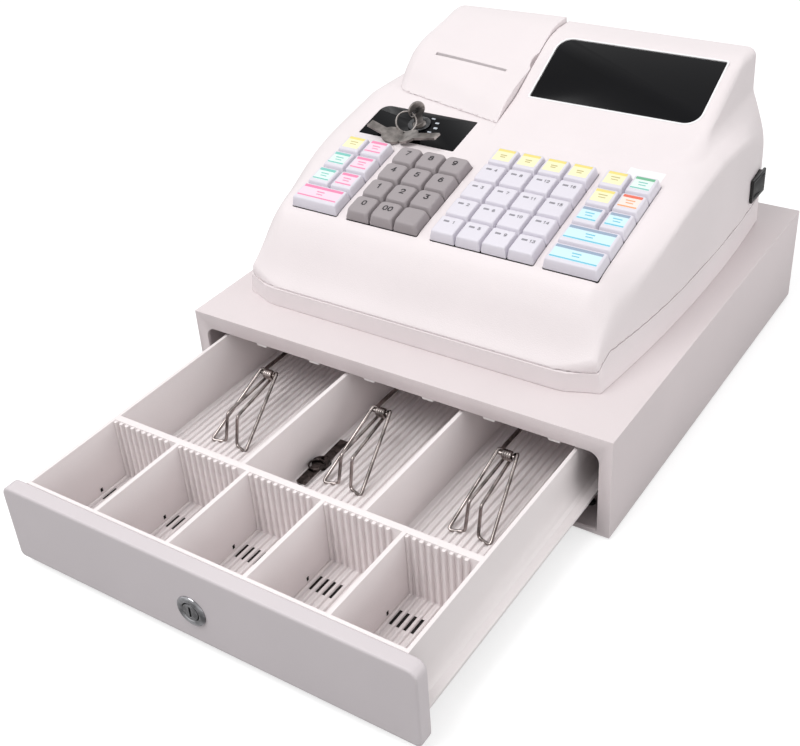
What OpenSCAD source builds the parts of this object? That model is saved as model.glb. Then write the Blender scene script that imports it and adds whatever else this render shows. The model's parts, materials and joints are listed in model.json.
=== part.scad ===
// Ticket register: an electronic register standing on a cash drawer.
// X runs across, Y from front to rear, Z up.  The drawer is drawn at its open stop.
// Inside the modules y = 0 is the front face of the cabinet, and placed() moves it
// so that the origin lies under the middle of the whole object.

/* [Cabinet] */
// Width of the cabinet
cab_w = 340; // [300:1:420]
// Depth of the cabinet
cab_d = 350; // [340:1:430]
// Height of the cabinet, feet included
cab_h = 80; // [76:0.5:110]
// Wall of the cabinet
cab_wall = 2.5; // [1.5:0.5:4]
// Thickness of the front frame
frame_t = 3; // [2:0.5:5]
// Width of the frame beside the drawer
jamb_w = 9; // [6:0.5:16]
// Height of the lip above the drawer
lip_h = 12; // [8:0.5:18]
// Height of the sill under the drawer, above the feet
sill_h = 3; // [2:0.5:6]
// Height of the feet
foot_h = 2; // [1:0.5:5]
// Diameter of the feet
foot_dia = 22; // [12:1:32]

/* [Drawer] */
// How far the open drawer stands out of the cabinet
drawer_out = 206.5; // [120:0.5:220]
// Gap between drawer front and frame at each side
front_gap = 4; // [2:0.5:7]
// Gap over the drawer front
front_top_gap = 2.8; // [2.5:0.1:6]
// Gap under the drawer front
front_low_gap = 1.5; // [1:0.1:4]
// Depth of the hollow drawer front
front_d = 11; // [9:0.5:16]
// Wall of the drawer front
front_t = 3; // [2:0.5:4]
// Gap from the drawer front's side to the bin's side
bin_inset = 11.9; // [11:0.1:20]
// Length of the bin behind the drawer front
bin_l = 273.5; // [240:0.5:290]
// Wall of the bin
bin_wall = 2.5; // [1.5:0.5:4]
// Height of the bin's rim under the top of the drawer front
rim_drop = 0.7; // [0.2:0.1:3]
// Length of the coin cups, front to rear
coin_l = 76; // [60:1:90]
// Height of the coin cups' floor
coin_floor = 16; // [13:0.5:24]
// Height of the bill bays' floor
bill_floor = 20; // [14:0.5:24]
// Thickness of the wall between coin cups and bill bays
cross_t = 5; // [2:0.5:8]
// Thickness of the dividers
divider_t = 3; // [2:0.5:5]
// Width of the first coin cup
coin_first = 55; // [40:0.5:60]
// Spacing of the coin dividers
coin_pitch = 59.2; // [45:0.1:62]
// Width of the first bill bay
bill_first = 106.5; // [80:0.5:115]
// Spacing of the bill dividers
bill_pitch = 94; // [80:0.5:100]
// Height of the runner flange over the ground
runner_z = 24.5; // [22:0.5:30]
// How far the runner flange stands out of the bin's side
runner_w = 9.7; // [6:0.1:10]
// Diameter of the drawer's rollers
roller_dia = 10; // [8:0.5:14]

/* [Drawer lock] */
// Place of the lock across the drawer front
lock_x = -2.5; // [-60:0.5:60]
// Height of the lock over the ground
lock_z = 31.5; // [26:0.5:48]
// Diameter of the lock's rim
lock_rim_dia = 22.7; // [18:0.1:26]
// Diameter of the lock's plug
lock_plug_dia = 12; // [9:0.5:14]
// How far the rim stands proud
lock_proud = 2; // [1:0.5:4]

/* [Bill clips] */
// Place of the middle clip across the drawer
clip_mid_x = 1; // [-10:0.5:10]
// Spacing of the clips
clip_pitch = 99; // [90:0.5:104]
// Diameter of the clip wire
wire_dia = 2.2; // [1.6:0.1:2.8]
// Height of the clips' pivot
pivot_z = 50; // [44:0.5:52]
// Place of the clips' pivot behind the cabinet's front
pivot_y = -8; // [-12:0.5:-6]
// Diameter of the pivot rod
pivot_dia = 3; // [2:0.1:4]
// Half the width of a clip
clip_half_w = 18; // [12:0.5:20]
// Reach of a clip from its pivot to its feet
clip_reach = 54; // [40:0.5:64]

/* [Register] */
// Place of the register's middle across the cabinet
reg_x = -4.5; // [-10:0.5:10]
// Half the width of the register at its widest
reg_half_w = 155.2; // [140:0.1:165]
// Radius of the bowed sides
side_r = 1340; // [900:10:3000]
// Place of the widest point behind the cabinet's front
side_mid_y = 205; // [180:1:230]
// Front edge of the register behind the cabinet's front
reg_front = 34; // [20:0.5:50]
// Rear face of the register behind the cabinet's front
reg_rear = 322; // [310:0.5:335]
// Height of the lower housing along the sides
low_h = 22.5; // [18:0.5:30]
// Height of the lower housing along the front
low_front_h = 15; // [12:0.5:18]
// Height of the deck's plane over the cabinet, at the cabinet's front
deck_h = 49; // [44:0.5:56]
// Rise of the deck for each unit of depth
deck_rise = 0.235; // [0.18:0.005:0.28]
// Height of the level back of the deck over the cabinet
back_h = 101.2; // [96:0.1:110]
// Height of the display hood over the cabinet
hood_h = 139.5; // [130:0.5:150]
// Wall of the plastic housings
wall = 2.5; // [1.5:0.5:3.5]
// Gap between housings
seam = 0.4; // [0.2:0.1:0.8]

/* [Keys] */
// Spacing of the keys across
key_px = 20.3; // [18:0.1:20.8]
// Spacing of the keys up the deck
key_py = 20.4; // [18:0.1:20.8]
// Front edge of the key blocks, measured up the deck
key_v0 = 73; // [70:0.5:76]
// Gap between key caps
key_gap = 0.9; // [0.6:0.1:1.6]
// Height of the caps over the deck
cap_h = 7; // [4:0.5:9]
// How far a key travels
key_travel = 3; // [1.5:0.5:3.5]
// Side of the key stems
stem_w = 5; // [4:0.5:7]
// Clearance of a sliding key on each side
key_fit = 0.4; // [0.2:0.1:0.6]
// Left edge of the left function block
left_x = -124; // [-126:0.5:-120]
// Gap between the left function block and the number block
gap_1 = 7.9; // [4:0.1:10]
// Gap between the number block and the department block
gap_2 = 10; // [4:0.1:12]
// Gap between the department block and the right function block
gap_3 = 6.2; // [4:0.1:8]

/* [Lock panel] */
// Left edge of the lock panel
panel_x = -124.5; // [-126:0.5:-118]
// Width of the lock panel
panel_w = 85; // [70:0.5:90]
// Front edge of the lock panel, measured up the deck
panel_v = 167; // [166:0.5:172]
// Depth of the lock panel, measured up the deck
panel_d = 38; // [30:0.5:42]
// Place of the mode lock across the register
mode_x = -82; // [-100:0.5:-70]
// Place of the mode lock, measured up the deck
mode_v = 189; // [182:0.5:192]
// Diameter of the mode lock's rim
mode_rim_dia = 17; // [14:0.5:20]

/* [Display] */
// Left side of the hood
hood_x = -23.6; // [-30:0.1:-20]
// Width of the hood
hood_w = 155; // [150:0.5:160]
// Front foot of the hood behind the cabinet's front
hood_foot = 186; // [184:0.5:192]
// Width of the display window
window_w = 133; // [100:0.5:140]
// Height of the display window up its slope
window_l = 60; // [40:0.5:62]
// Left edge of the display window
window_x = -12; // [-16:0.5:-8]
// Thickness of the display window
window_t = 2; // [1:0.5:2.5]

/* [Printer] */
// Width of the printer cover
cover_w = 106; // [100:0.5:106]
// Gap between printer cover and hood
cover_gap = 0.6; // [0.4:0.1:1]
// Width of the paper slot
slot_w = 64; // [60:0.5:70]
// Diameter of the paper roll
roll_dia = 52; // [30:1:56]
// Width of the paper roll
roll_w = 57; // [38:0.5:58]
// Diameter of the platen
platen_dia = 12; // [8:0.5:14]

/* [Power switch] */
// Length of the switch's frame
switch_l = 27; // [20:0.5:32]
// Height of the switch's frame
switch_h = 19; // [14:0.5:20]
// Middle of the switch behind the cabinet's front
switch_y = 300; // [280:0.5:302]
// Height of the switch over the cabinet
switch_z = 39.5; // [36:0.5:46]

/* [Hidden] */

// Small shared values.
eps = 1;
gap = 0.3;
run_fit = 0.05;
part_gap = 0.2;
bend_swell = 1.12;

// The row's origin: under the middle of the object with its drawer open.
front_y = (drawer_out + lock_proud - cab_d) / 2;

// Cabinet.
base_t = 1.5;
sill_z = foot_h + sill_h;
mouth_top = cab_h - lip_h;
mouth_half = cab_w / 2 - jamb_w;
mouth_r = 8;
inner_half = cab_w / 2 - cab_wall;
tab_w = 9;
tab_pitch = 47.6;
tab_x0 = -109;
tab_low = 2.4;
tab_count = 6;

// Drawer.
front_half = mouth_half - front_gap;
front_z0 = sill_z + front_low_gap;
front_z1 = mouth_top - front_top_gap;
front_y0 = -drawer_out;
bin_half = front_half - bin_inset;
bin_in = bin_half - bin_wall;
bin_y0 = front_y0 + front_d;
bin_y1 = bin_y0 + bin_l;
rim_z = front_z1 - rim_drop;
coin_y0 = bin_y0 + bin_wall;
coin_y1 = coin_y0 + coin_l;
bill_y0 = coin_y1 + cross_t;
bill_y1 = bin_y1 - bin_wall;
coin_div = [for (i = [0:3]) -bin_in + coin_first + divider_t / 2 + i * coin_pitch];
bill_div = [for (i = [0:1]) -bin_in + bill_first + divider_t / 2 + i * bill_pitch];
runner_t = 2.5;
rail_t = 2.2;
rail_top = runner_z - gap;
rail_y0 = front_d + 3;
rail_y1 = cab_d - cab_wall - 8;
rail_web = 3;
roller_z = rail_top + gap + roller_dia / 2;
roller_y = bin_y1 - 16;
roller_w = 5;
roller_pin = 4;
roller_x = inner_half - rail_web - 2.5 - roller_w;

roller_axle = roller_x + roller_w + 1;

// Slots in the floor of each coin cup.
cup_slots = 4;
cup_slot_x = 2.3;
cup_slot_y = 48;
cup_slot_w = 2.6;
cup_slot_l = 12.5;
cup_slot_pitch = 5.1;

// Latch and ejector, behind the closed drawer.
closed_rear = bin_y1 + drawer_out;
rear_in = cab_d - cab_wall;
striker_x = 40;
striker_z = 32;
striker_pin = 4;
striker_reach = 13;
striker_half_w = 6;
striker_lug_t = 2;
hook_tooth_y = closed_rear + 5;
hook_tooth_t = 4;
hook_pivot_y = rear_in - 29;
hook_pivot_z = 50;
hook_lift = 12;
hook_half_w = 2;
hook_pin = 3;
bracket_x = 4;
bracket_t = 3;
spring_x = -60;
spring_z = 40;
spring_turns = 8;
spring_wire = 1.6;

// Clips.
clip_x = [for (i = [-1:1]) clip_mid_x + i * clip_pitch];
coil_in = pivot_dia + 0.6;
coil_out = coil_in + 2 * wire_dia;
hub_half_w = 4;
knee_z = 43;
arm_x = 6.2;

// Register: the plan is an outline with bowed sides, the profile a wedge.
top = cab_h;
part_z = top + low_h;
deck_a = atan(deck_rise);
deck_z = top + deck_h;
back_z = top + back_h;
back_y = (back_h - deck_h) / deck_rise;
part_front_z = top + low_front_h;
outside = 170;
// The shoulders: how far in from the widest place and how far below the surface.
deck_edge = [[0, 50], [3.7, 11.5], [11, 4.5], [27, 0]];
back_edge = [[0, 31], [2, 13], [9.5, 4.7], [27, 0]];
// Slanted faces over the front corners: how far in, depth, drop below the deck, turn, tilt.
corner_faces = [[12.4, 75, 21.6, -19, 59.4], [12.9, 75, 21.6, -7, 81.4]];
hood_z = top + hood_h;
hood_fold = [230, back_z + 6.8];
hood_brow = [290, hood_z];
hood_slope = atan((hood_brow[1] - hood_fold[1]) / (hood_brow[0] - hood_fold[0]));
cover_z = back_z + 0.3;
cover_x0 = hood_x - cover_gap - cover_w;
slot_x = cover_x0 + cover_w / 2 + 1.3;
lid_pivot = [reg_rear + 3, back_z + 3.3];
lid_pin = 3;
lid_knuckle = 6;
lug_r = 2.5;
lug_x = 38;
lug_w = 6;
lid_knuckle_w = 7;
lid_knuckle_x = lug_x - lug_w / 2 - 0.6 - lid_knuckle_w / 2;
cheek = 3;
bay_w = roll_w + 2;
bay_y1 = reg_rear - 4.5;
roll_y = bay_y1 - roll_dia / 2 - 3;
roll_z = back_z - 22;
bay_floor = roll_z - roll_dia / 2 - gap;
platen_y = 247;
platen_z = back_z + 3;
platen_pin = 4;
frame_floor_t = 3;
foot_post = 6;

// Lock panel, mode lock and the keys that hang from it.
panel_t = 1.8;
panel_sink = 1.6;
plug_dia = 11;
key_t = 1.8;
bow_w = 14;
bow_turn = 60;

// Keys.
frame_w1 = -6;
frame_w0 = frame_w1 - 2;
board_w1 = frame_w0 - key_travel - 7.4;
board_t = 1.6;
cap_skirt = 0.8;
cap_taper = 2.2;
stem_w0 = board_w1 + key_travel + 0.8;
block_v1 = key_v0 + 5 * key_py;
num_x = left_x + 2 * key_px + gap_1;
dept_x = num_x + 3 * key_px + gap_2;
right_x = dept_x + 4 * key_px + gap_3;
blocks = [
    [left_x, 2, 4],
    [num_x, 3, 4],
    [dept_x, 4, 5],
    [right_x, 2, 5]
];

// Power switch.
rocker_axis = -2.5;
rocker_pin = 2.4;
switch_wall_x = reg_x + side_x(switch_y - switch_l / 2);

grey = "#8f8b90";
pink = "#f3a6c8";
teal = "#a8d9cf";
yellow = "#f5efae";
white = "#f3f1f5";
cyan = "#a5dcea";
blue = "#a9cfe6";
mint = "#bfe3d5";
orange = "#f0b5a0";
body_white = "#ece3e4";

// ---- helpers ----

// Moves from the cabinet's front face to the row's origin.
module placed() {
    translate([0, front_y, 0]) children();
}

// Half the width of the register at a depth y.
function side_x(y) = reg_half_w - side_r + sqrt(side_r * side_r - (y - side_mid_y) * (y - side_mid_y));

// A vector turned a right angle to its left, at unit length.
function left_of(v) = [-v[1], v[0]] / norm(v);

// A convex outline, listed counterclockwise, with each edge moved inwards by t.
function inset(pts, t) = [
    for (i = [0:len(pts) - 1])
        let (
            before = pts[(i + len(pts) - 1) % len(pts)],
            after = pts[(i + 1) % len(pts)],
            n1 = left_of(pts[i] - before),
            n2 = left_of(after - pts[i])
        )
        pts[i] + t * (n1 + n2) / (1 + n1 * n2)
];

// Extrudes a drawing of the YZ plane along X, from x0 to x1.
module along_x(x0, x1) {
    translate([x0, 0, 0]) rotate([90, 0, 90]) linear_extrude(height = x1 - x0) children();
}

// Extrudes a drawing of the XZ plane along Y, from y0 to y1.
module along_y(y0, y1) {
    translate([0, y1, 0]) rotate([90, 0, 0]) linear_extrude(height = y1 - y0) children();
}

// A box between two corners.
module block(a, b) {
    translate(a) cube(b - a);
}

// The deck's own frame: x across, v up the slope, w out of the deck.
module on_deck() {
    translate([0, 0, deck_z]) rotate([deck_a, 0, 0]) children();
}

// The display's own frame, which starts at the fold of the hood.
module on_hood() {
    translate([0, hood_fold[0], hood_fold[1]]) rotate([hood_slope, 0, 0]) children();
}

// A rectangle with two round corners at its top, and two at its bottom.
module round_panel(x0, x1, z0, z1, r_top, r_low) {
    r_max = max(r_top, r_low);
    translate([x0, z0 + r_low]) square([x1 - x0, z1 - z0 - r_top - r_low]);
    translate([x0 + r_top, z0 + r_max]) square([x1 - x0 - 2 * r_top, z1 - z0 - r_max]);
    translate([x0 + r_low, z0]) square([x1 - x0 - 2 * r_low, z1 - z0 - r_max]);
    for (x = [x0 + r_top, x1 - r_top])
        translate([x, z1 - r_top]) circle(r = r_top, $fn = 48);
    for (x = [x0 + r_low, x1 - r_low])
        translate([x, z0 + r_low]) circle(r = r_low, $fn = 48);
}

// A straight piece of wire with a bend, a little thicker, at each end.
module wire(a, b, dia = wire_dia) {
    v = b - a;
    turn = atan2(v[1], v[0]);
    tilt = acos(v[2] / norm(v));
    translate(a) rotate([0, tilt, turn]) cylinder(h = norm(v), d = dia, $fn = 24);
    translate(a) sphere(d = dia * bend_swell, $fn = 24);
}

// A cylinder along X that starts at p.
module rod_x(p, length, dia) {
    translate(p) rotate([0, 90, 0]) cylinder(h = length, d = dia, $fn = 48);
}

// A cylinder along Y that starts at p.
module rod_y(p, length, dia) {
    translate(p) rotate([-90, 0, 0]) cylinder(h = length, d = dia, $fn = 48);
}

// ---- cabinet ----

module cabinet_shell() {
    color(body_white) placed() difference() {
        block([-cab_w / 2, 0, foot_h], [cab_w / 2, cab_d, cab_h]);
        block([-inner_half, frame_t, foot_h - eps], [inner_half, cab_d - cab_wall, cab_h - cab_wall]);
        along_y(-eps, frame_t + eps) {
            round_panel(-mouth_half, mouth_half, sill_z, mouth_top, mouth_r, 2);
        }
    }
}

module cabinet_base() {
    color("#cfcacb") placed() difference() {
        union() {
            block(
                [-inner_half + part_gap, frame_t + part_gap, foot_h],
                [inner_half - part_gap, cab_d - cab_wall - part_gap, foot_h + base_t]
            );
            for (side = [-1, 1])
                for (y = [60, cab_d - 60])
                    translate([side * (inner_half - 12), y, foot_h])
                        cylinder(h = 8, d = 8, $fn = 32);
        }
        for (p = foot_places())
            translate([p[0], p[1], foot_h - eps]) cylinder(h = base_t + 2 * eps, d = 8, $fn = 32);
    }
}

function foot_places() = [
    for (side = [-1, 1])
        for (y = [26, cab_d - 26])
            [side * (cab_w / 2 - 26), y]
];

module rubber_feet() {
    color("#3c3a3b") placed() for (p = foot_places())
        translate([p[0], p[1], 0]) {
            cylinder(h = foot_h, d = foot_dia, $fn = 48);
            cylinder(h = foot_h + base_t + 1.5, d = 8 - 2 * part_gap, $fn = 32);
        }
}

module lip_tabs() {
    color("#f7f5f5") placed() for (i = [0:tab_count - 1])
        translate([tab_x0 + i * tab_pitch - tab_w / 2, 0, 0]) {
            block([0, 0.6, mouth_top - tab_low], [tab_w, frame_t + 3, mouth_top]);
            block([0, frame_t, mouth_top - tab_low], [tab_w, frame_t + 3, mouth_top + 7]);
        }
}

module drawer_rails() {
    web_x = inner_half - rail_web;
    color("#b9b7b9") placed() for (side = [-1, 1])
        mirror([side < 0 ? 1 : 0, 0, 0]) {
            block([web_x, rail_y0, rail_top - 6], [inner_half, rail_y1, roller_z + roller_dia / 2 + 3]);
            block([bin_half + 3, rail_y0, rail_top - rail_t], [web_x + 0.5, rail_y1, rail_top]);
            block(
                [bin_half + runner_w + 0.7, rail_y0, roller_z + roller_dia / 2 + 0.5],
                [web_x + 0.5, rail_y1, roller_z + roller_dia / 2 + 0.5 + rail_t]
            );
        }
}

// ---- latch ----

module latch_solenoid() {
    x0 = striker_x - 16;
    color("#6d6a6c") placed() difference() {
        union() {
            block([x0, hook_pivot_y + 6, foot_h + base_t], [x0 + 32, rear_in - 0.3, 34]);
            for (x = [striker_x - bracket_x - bracket_t, striker_x + bracket_x])
                block(
                    [x, hook_pivot_y - 4, foot_h + base_t],
                    [x + bracket_t, hook_pivot_y + 8, hook_pivot_z + 5]
                );
            rod_x([striker_x - bracket_x - 1, hook_pivot_y, hook_pivot_z], 2 * bracket_x + 2, hook_pin);
        }
        rod_y([striker_x, hook_pivot_y + 5, 20], 16, 9);
    }
}

module latch_hook() {
    color("#bdbcbe") placed()
        translate([0, hook_pivot_y, hook_pivot_z]) rotate([-hook_lift, 0, 0])
            translate([0, -hook_pivot_y, -hook_pivot_z]) difference() {
                along_x(striker_x - hook_half_w, striker_x + hook_half_w) {
                    translate([hook_tooth_y, hook_pivot_z - 5]) square([hook_pivot_y - hook_tooth_y, 10]);
                    translate([hook_pivot_y, hook_pivot_z]) circle(r = 5, $fn = 48);
                    translate([hook_tooth_y, striker_z - 3])
                        square([hook_tooth_t, hook_pivot_z - striker_z + 3]);
                }
                rod_x([striker_x - 3, hook_pivot_y, hook_pivot_z], 6, hook_pin + 2 * run_fit);
            }
}

module coil(radius, wire_d, pitch, turns, sides = 8, steps = 16) {
    rings = turns * steps;
    points = [
        for (i = [0:rings])
            for (j = [0:sides - 1])
                let (
                    a = 360 * i / steps,
                    b = 360 * j / sides,
                    r = radius + wire_d / 2 * cos(b)
                )
                [r * cos(a), r * sin(a), pitch * i / steps + wire_d / 2 * sin(b)]
    ];
    skin = [
        for (i = [0:rings - 1])
            for (j = [0:sides - 1])
                let (k = (j + 1) % sides)
                [i * sides + j, i * sides + k, (i + 1) * sides + k, (i + 1) * sides + j]
    ];
    start = [for (j = [sides - 1:-1:0]) j];
    end = [for (j = [0:sides - 1]) rings * sides + j];
    polyhedron(points, concat([start], skin, [end]), convexity = 6);
}

module ejector_spring() {
    length = rear_in - closed_rear - 5;
    color("#a9a8aa") placed()
        translate([spring_x, rear_in - 1.2, spring_z]) rotate([90, 0, 0])
            coil(6, spring_wire, length / spring_turns, spring_turns);
}

// ---- drawer ----

module drawer_tray() {
    low = min(coin_floor, bill_floor) - bin_wall;
    color("#e3dcdd") placed() difference() {
        union() {
            block([-bin_half, bin_y0, low], [bin_half, bin_y1, rim_z]);
            for (side = [-1, 1])
                mirror([side < 0 ? 1 : 0, 0, 0]) {
                    along_y(bin_y0, bin_y1) polygon([
                        [bin_half - eps, runner_z],
                        [bin_half + runner_w, runner_z],
                        [bin_half + runner_w, runner_z + runner_t],
                        [bin_half + runner_w / 2, runner_z + runner_t + 1.5],
                        [bin_half + runner_w / 5, runner_z + runner_t + 6],
                        [bin_half, runner_z + runner_t + 14],
                        [bin_half - eps, runner_z + runner_t + 14]
                    ]);
                    rod_x([bin_half - eps, roller_y, roller_z], roller_axle - bin_half + eps, roller_pin);
                }
            for (x = [striker_x - striker_half_w, striker_x + striker_half_w - striker_lug_t])
                block(
                    [x, bin_y1 - eps, striker_z - 3],
                    [x + striker_lug_t, bin_y1 + striker_reach + 3, striker_z + 3]
                );
            rod_x([striker_x - 5, bin_y1 + striker_reach, striker_z], 10, striker_pin);
        }
        // Coin cups.
        for (i = [0:4]) {
            x0 = i == 0 ? -bin_in : coin_div[i - 1] + divider_t / 2;
            x1 = i == 4 ? bin_in : coin_div[i] - divider_t / 2;
            block([x0, coin_y0, coin_floor], [x1, coin_y1, rim_z + eps]);
            for (k = [0:cup_slots - 1])
                translate([x0 + cup_slot_x + k * cup_slot_pitch, coin_y0 + cup_slot_y, low - eps])
                    cube([cup_slot_w, cup_slot_l, coin_floor - low + 2 * eps]);
        }
        // Bill bays.
        for (i = [0:2]) {
            x0 = i == 0 ? -bin_in : bill_div[i - 1] + divider_t / 2;
            x1 = i == 2 ? bin_in : bill_div[i] - divider_t / 2;
            block([x0, bill_y0, bill_floor], [x1, bill_y1, rim_z + eps]);
        }
        // The bill floor is higher than the coin floor, and is open below it.
        if (bill_floor > coin_floor)
            block([-bin_in, bill_y0, low - eps], [bin_in, bill_y1, bill_floor - bin_wall]);
    }
}

module drawer_front() {
    color("#e6dfe0") placed() difference() {
        along_y(front_y0, bin_y0) round_panel(-front_half, front_half, front_z0, front_z1, 8, 6);
        along_y(front_y0 + front_t, bin_y0 + eps)
            round_panel(
                -front_half + front_t, front_half - front_t, front_z0 + front_t, front_z1 - front_t, 5, 3
            );
        rod_y([lock_x, front_y0 - eps, lock_z], front_t + 2 * eps, lock_plug_dia + 7);
    }
}

module drawer_rollers() {
    color("#f2f0ef") placed() for (side = [-1, 1])
        mirror([side < 0 ? 1 : 0, 0, 0]) difference() {
            rod_x([roller_x, roller_y, roller_z], roller_w, roller_dia);
            rod_x([roller_x - eps, roller_y, roller_z], roller_w + 2 * eps, roller_pin + 2 * run_fit);
        }
}

module drawer_lock_rim() {
    color("#c9c9cd") placed() difference() {
        union() {
            rod_y([lock_x, front_y0 - lock_proud, lock_z], lock_proud, lock_rim_dia);
            rod_y([lock_x, front_y0 - eps, lock_z], front_t + 4 + eps, lock_plug_dia + 6.6);
        }
        rod_y([lock_x, front_y0 - 10, lock_z], 30, lock_plug_dia + 2 * run_fit);
    }
}

module drawer_lock_plug() {
    plug_y0 = front_y0 - lock_proud + 0.4;
    plug_y1 = front_y0 + front_t + 5.6;
    color("#b4b3b8") placed() difference() {
        union() {
            rod_y([lock_x, plug_y0, lock_z], plug_y1 - plug_y0, lock_plug_dia);
            block([lock_x - 4, plug_y1 - 1.3, lock_z - 15], [lock_x + 4, plug_y1, lock_z]);
        }
        block([lock_x - 0.8, plug_y0 - eps, lock_z - 4], [lock_x + 0.8, plug_y0 + 3, lock_z + 4]);
    }
}

// One wire clip: a coil on the pivot rod, two arms, two legs, and a loop at each side.
module bill_clip(x) {
    leg_y = pivot_y - clip_reach + 8;
    foot_y = pivot_y - clip_reach;
    foot_z = bill_floor + wire_dia / 2 + gap;
    hub_z = pivot_z - coil_in / 2 - wire_dia / 2;
    color("#b9b4b4") placed() translate([x, 0, 0]) {
        difference() {
            union() {
                rod_x([-hub_half_w, pivot_y, pivot_z], 2 * hub_half_w, coil_out);
                for (side = [-1, 1])
                    rod_x([side * (clip_half_w - 2) - 1.5, pivot_y, pivot_z], 3, coil_out);
            }
            rod_x([-clip_half_w - 2, pivot_y, pivot_z], 2 * clip_half_w + 4, coil_in);
        }
        for (side = [-1, 1]) {
            wire([side * 2, pivot_y, hub_z], [side * 4.4, leg_y, knee_z]);
            wire([side * 4.4, leg_y, knee_z], [side * 5.7, foot_y + 2, foot_z]);
            wire([side * 5.7, foot_y + 2, foot_z], [side * clip_half_w, foot_y, foot_z]);
            wire([side * clip_half_w, foot_y, foot_z], [side * (clip_half_w - 2), pivot_y, hub_z]);
        }
    }
}

module bill_clip_1() {
    bill_clip(clip_x[0]);
}

module bill_clip_2() {
    bill_clip(clip_x[1]);
}

module bill_clip_3() {
    bill_clip(clip_x[2]);
}

// The arms hold the clips' pivot rods, and stand on the rear wall of the bin.
module clip_arms() {
    color("#c5c0c0") placed() for (x = clip_x) {
        rod_x([x - clip_half_w, pivot_y, pivot_z], clip_half_w - 4.6, pivot_dia);
        rod_x([x - hub_half_w - 0.7, pivot_y, pivot_z], clip_half_w + hub_half_w + 0.7, pivot_dia);
        translate([x - arm_x, 0, 0]) {
            rod_y([0, pivot_y, pivot_z], bill_y1 - pivot_y, pivot_dia);
            block([-6, bill_y1 - 2, pivot_z - 8], [6, bill_y1, pivot_z + 8]);
        }
    }
}

// A flat key with a round bow, and a hole in it unless hole is 0.
module flat_key(bow = 19, blade = 24, hole = 5) {
    difference() {
        union() {
            cylinder(h = key_t, d = bow, $fn = 40);
            translate([bow / 2 - 2, -3.5, 0]) cube([blade, 7, key_t]);
        }
        if (hole > 0)
            translate([-bow / 4 - 1, 0, -eps]) cylinder(h = 4, d = hole, $fn = 24);
    }
}

module ring(dia, wire_d) {
    rotate_extrude($fn = 48) translate([dia / 2, 0]) circle(d = wire_d, $fn = 16);
}

// Two flat keys on a ring, left in the middle bill bay.
module drawer_keys() {
    x = (bill_div[0] + divider_t / 2 + clip_x[1] - clip_half_w) / 2 - 0.3;
    color("#8a7f7c") placed() translate([x, -46, bill_floor + gap]) {
        rotate([0, 0, 92]) flat_key(13);
        translate([0, -1, 2]) rotate([0, 0, 272]) flat_key(13, 20);
        translate([0, -6, 4.8]) ring(11, 1.4);
    }
}

// ---- register housings ----

// The plan of the register, moved inwards by t.
module reg_plan(t) {
    nose = [
        [-122.5, reg_front], [122.5, reg_front], [140, reg_front + 7], [146, reg_front + 15],
        [outside, reg_front + 60], [outside, reg_rear], [-outside, reg_rear], [-outside, reg_front + 60],
        [-146, reg_front + 15], [-140, reg_front + 7]
    ];
    translate([reg_x, 0]) intersection() {
        translate([reg_half_w - side_r, side_mid_y]) circle(r = side_r - t, $fn = 720);
        translate([side_r - reg_half_w, side_mid_y]) circle(r = side_r - t, $fn = 720);
        polygon(inset(nose, t));
    }
}

// The wedge's side profile, moved inwards by t.
module wedge_profile(t) {
    polygon(inset([
        [reg_rear, top - 20],
        [reg_rear, back_z],
        [back_y, back_z],
        [reg_front + 36, deck_z + deck_rise * (reg_front + 36)],
        [reg_front + 29, top + 57],
        [reg_front + 20, top + 44.5],
        [reg_front + 9, top + 26],
        [reg_front + 2.5, part_front_z + 2],
        [reg_front, part_front_z],
        [reg_front, top - 20]
    ], t));
}

// What the shoulders leave over, seen from the front: edge lists how far in and how far down.
module shoulder_outline(edge, z, t) {
    right = [for (e = edge) [reg_x + reg_half_w - e[0], z - e[1]]];
    left = [for (i = [len(edge) - 1:-1:0]) [reg_x - reg_half_w + edge[i][0], z - edge[i][1]]];
    polygon(inset(concat(
        [[reg_x - outside, z - outside], [reg_x + outside, z - outside], [reg_x + outside, right[0][1]]],
        right,
        left,
        [[reg_x - outside, left[len(left) - 1][1]]]
    ), t));
}

// What a slanted face over one front corner leaves over, moved inwards by t.
module below_corner_face(face, t) {
    at = [reg_half_w - face[0], face[1], deck_z + deck_rise * face[1] - face[2]];
    translate(at) rotate([0, face[4], face[3]]) translate([-cab_d, -cab_d, -cab_d - t])
        cube([2 * cab_d, 2 * cab_d, cab_d]);
}

module wedge(t) {
    intersection() {
        translate([0, 0, top]) linear_extrude(height = back_h) reg_plan(t);
        along_x(-cab_w, cab_w) wedge_profile(t);
        along_y(0, cab_d) shoulder_outline(back_edge, back_z, t);
        on_deck() along_y(-20, cab_d + 40) shoulder_outline(deck_edge, 0, t);
        translate([reg_x, 0, 0]) below_corner_face(corner_faces[0], t);
        translate([reg_x, 0, 0]) below_corner_face(corner_faces[1], t);
        translate([reg_x, 0, 0]) mirror([1, 0, 0]) below_corner_face(corner_faces[0], t);
        translate([reg_x, 0, 0]) mirror([1, 0, 0]) below_corner_face(corner_faces[1], t);
    }
}

// The side view of what belongs to the lower housing, moved up by dz.
module below_parting(dz) {
    along_x(-cab_w, cab_w) polygon([
        [0, top],
        [cab_d, top],
        [cab_d, part_z + dz],
        [reg_front + 26, part_z + dz],
        [reg_front + 9, part_front_z + dz],
        [0, part_front_z + dz]
    ]);
}

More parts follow.
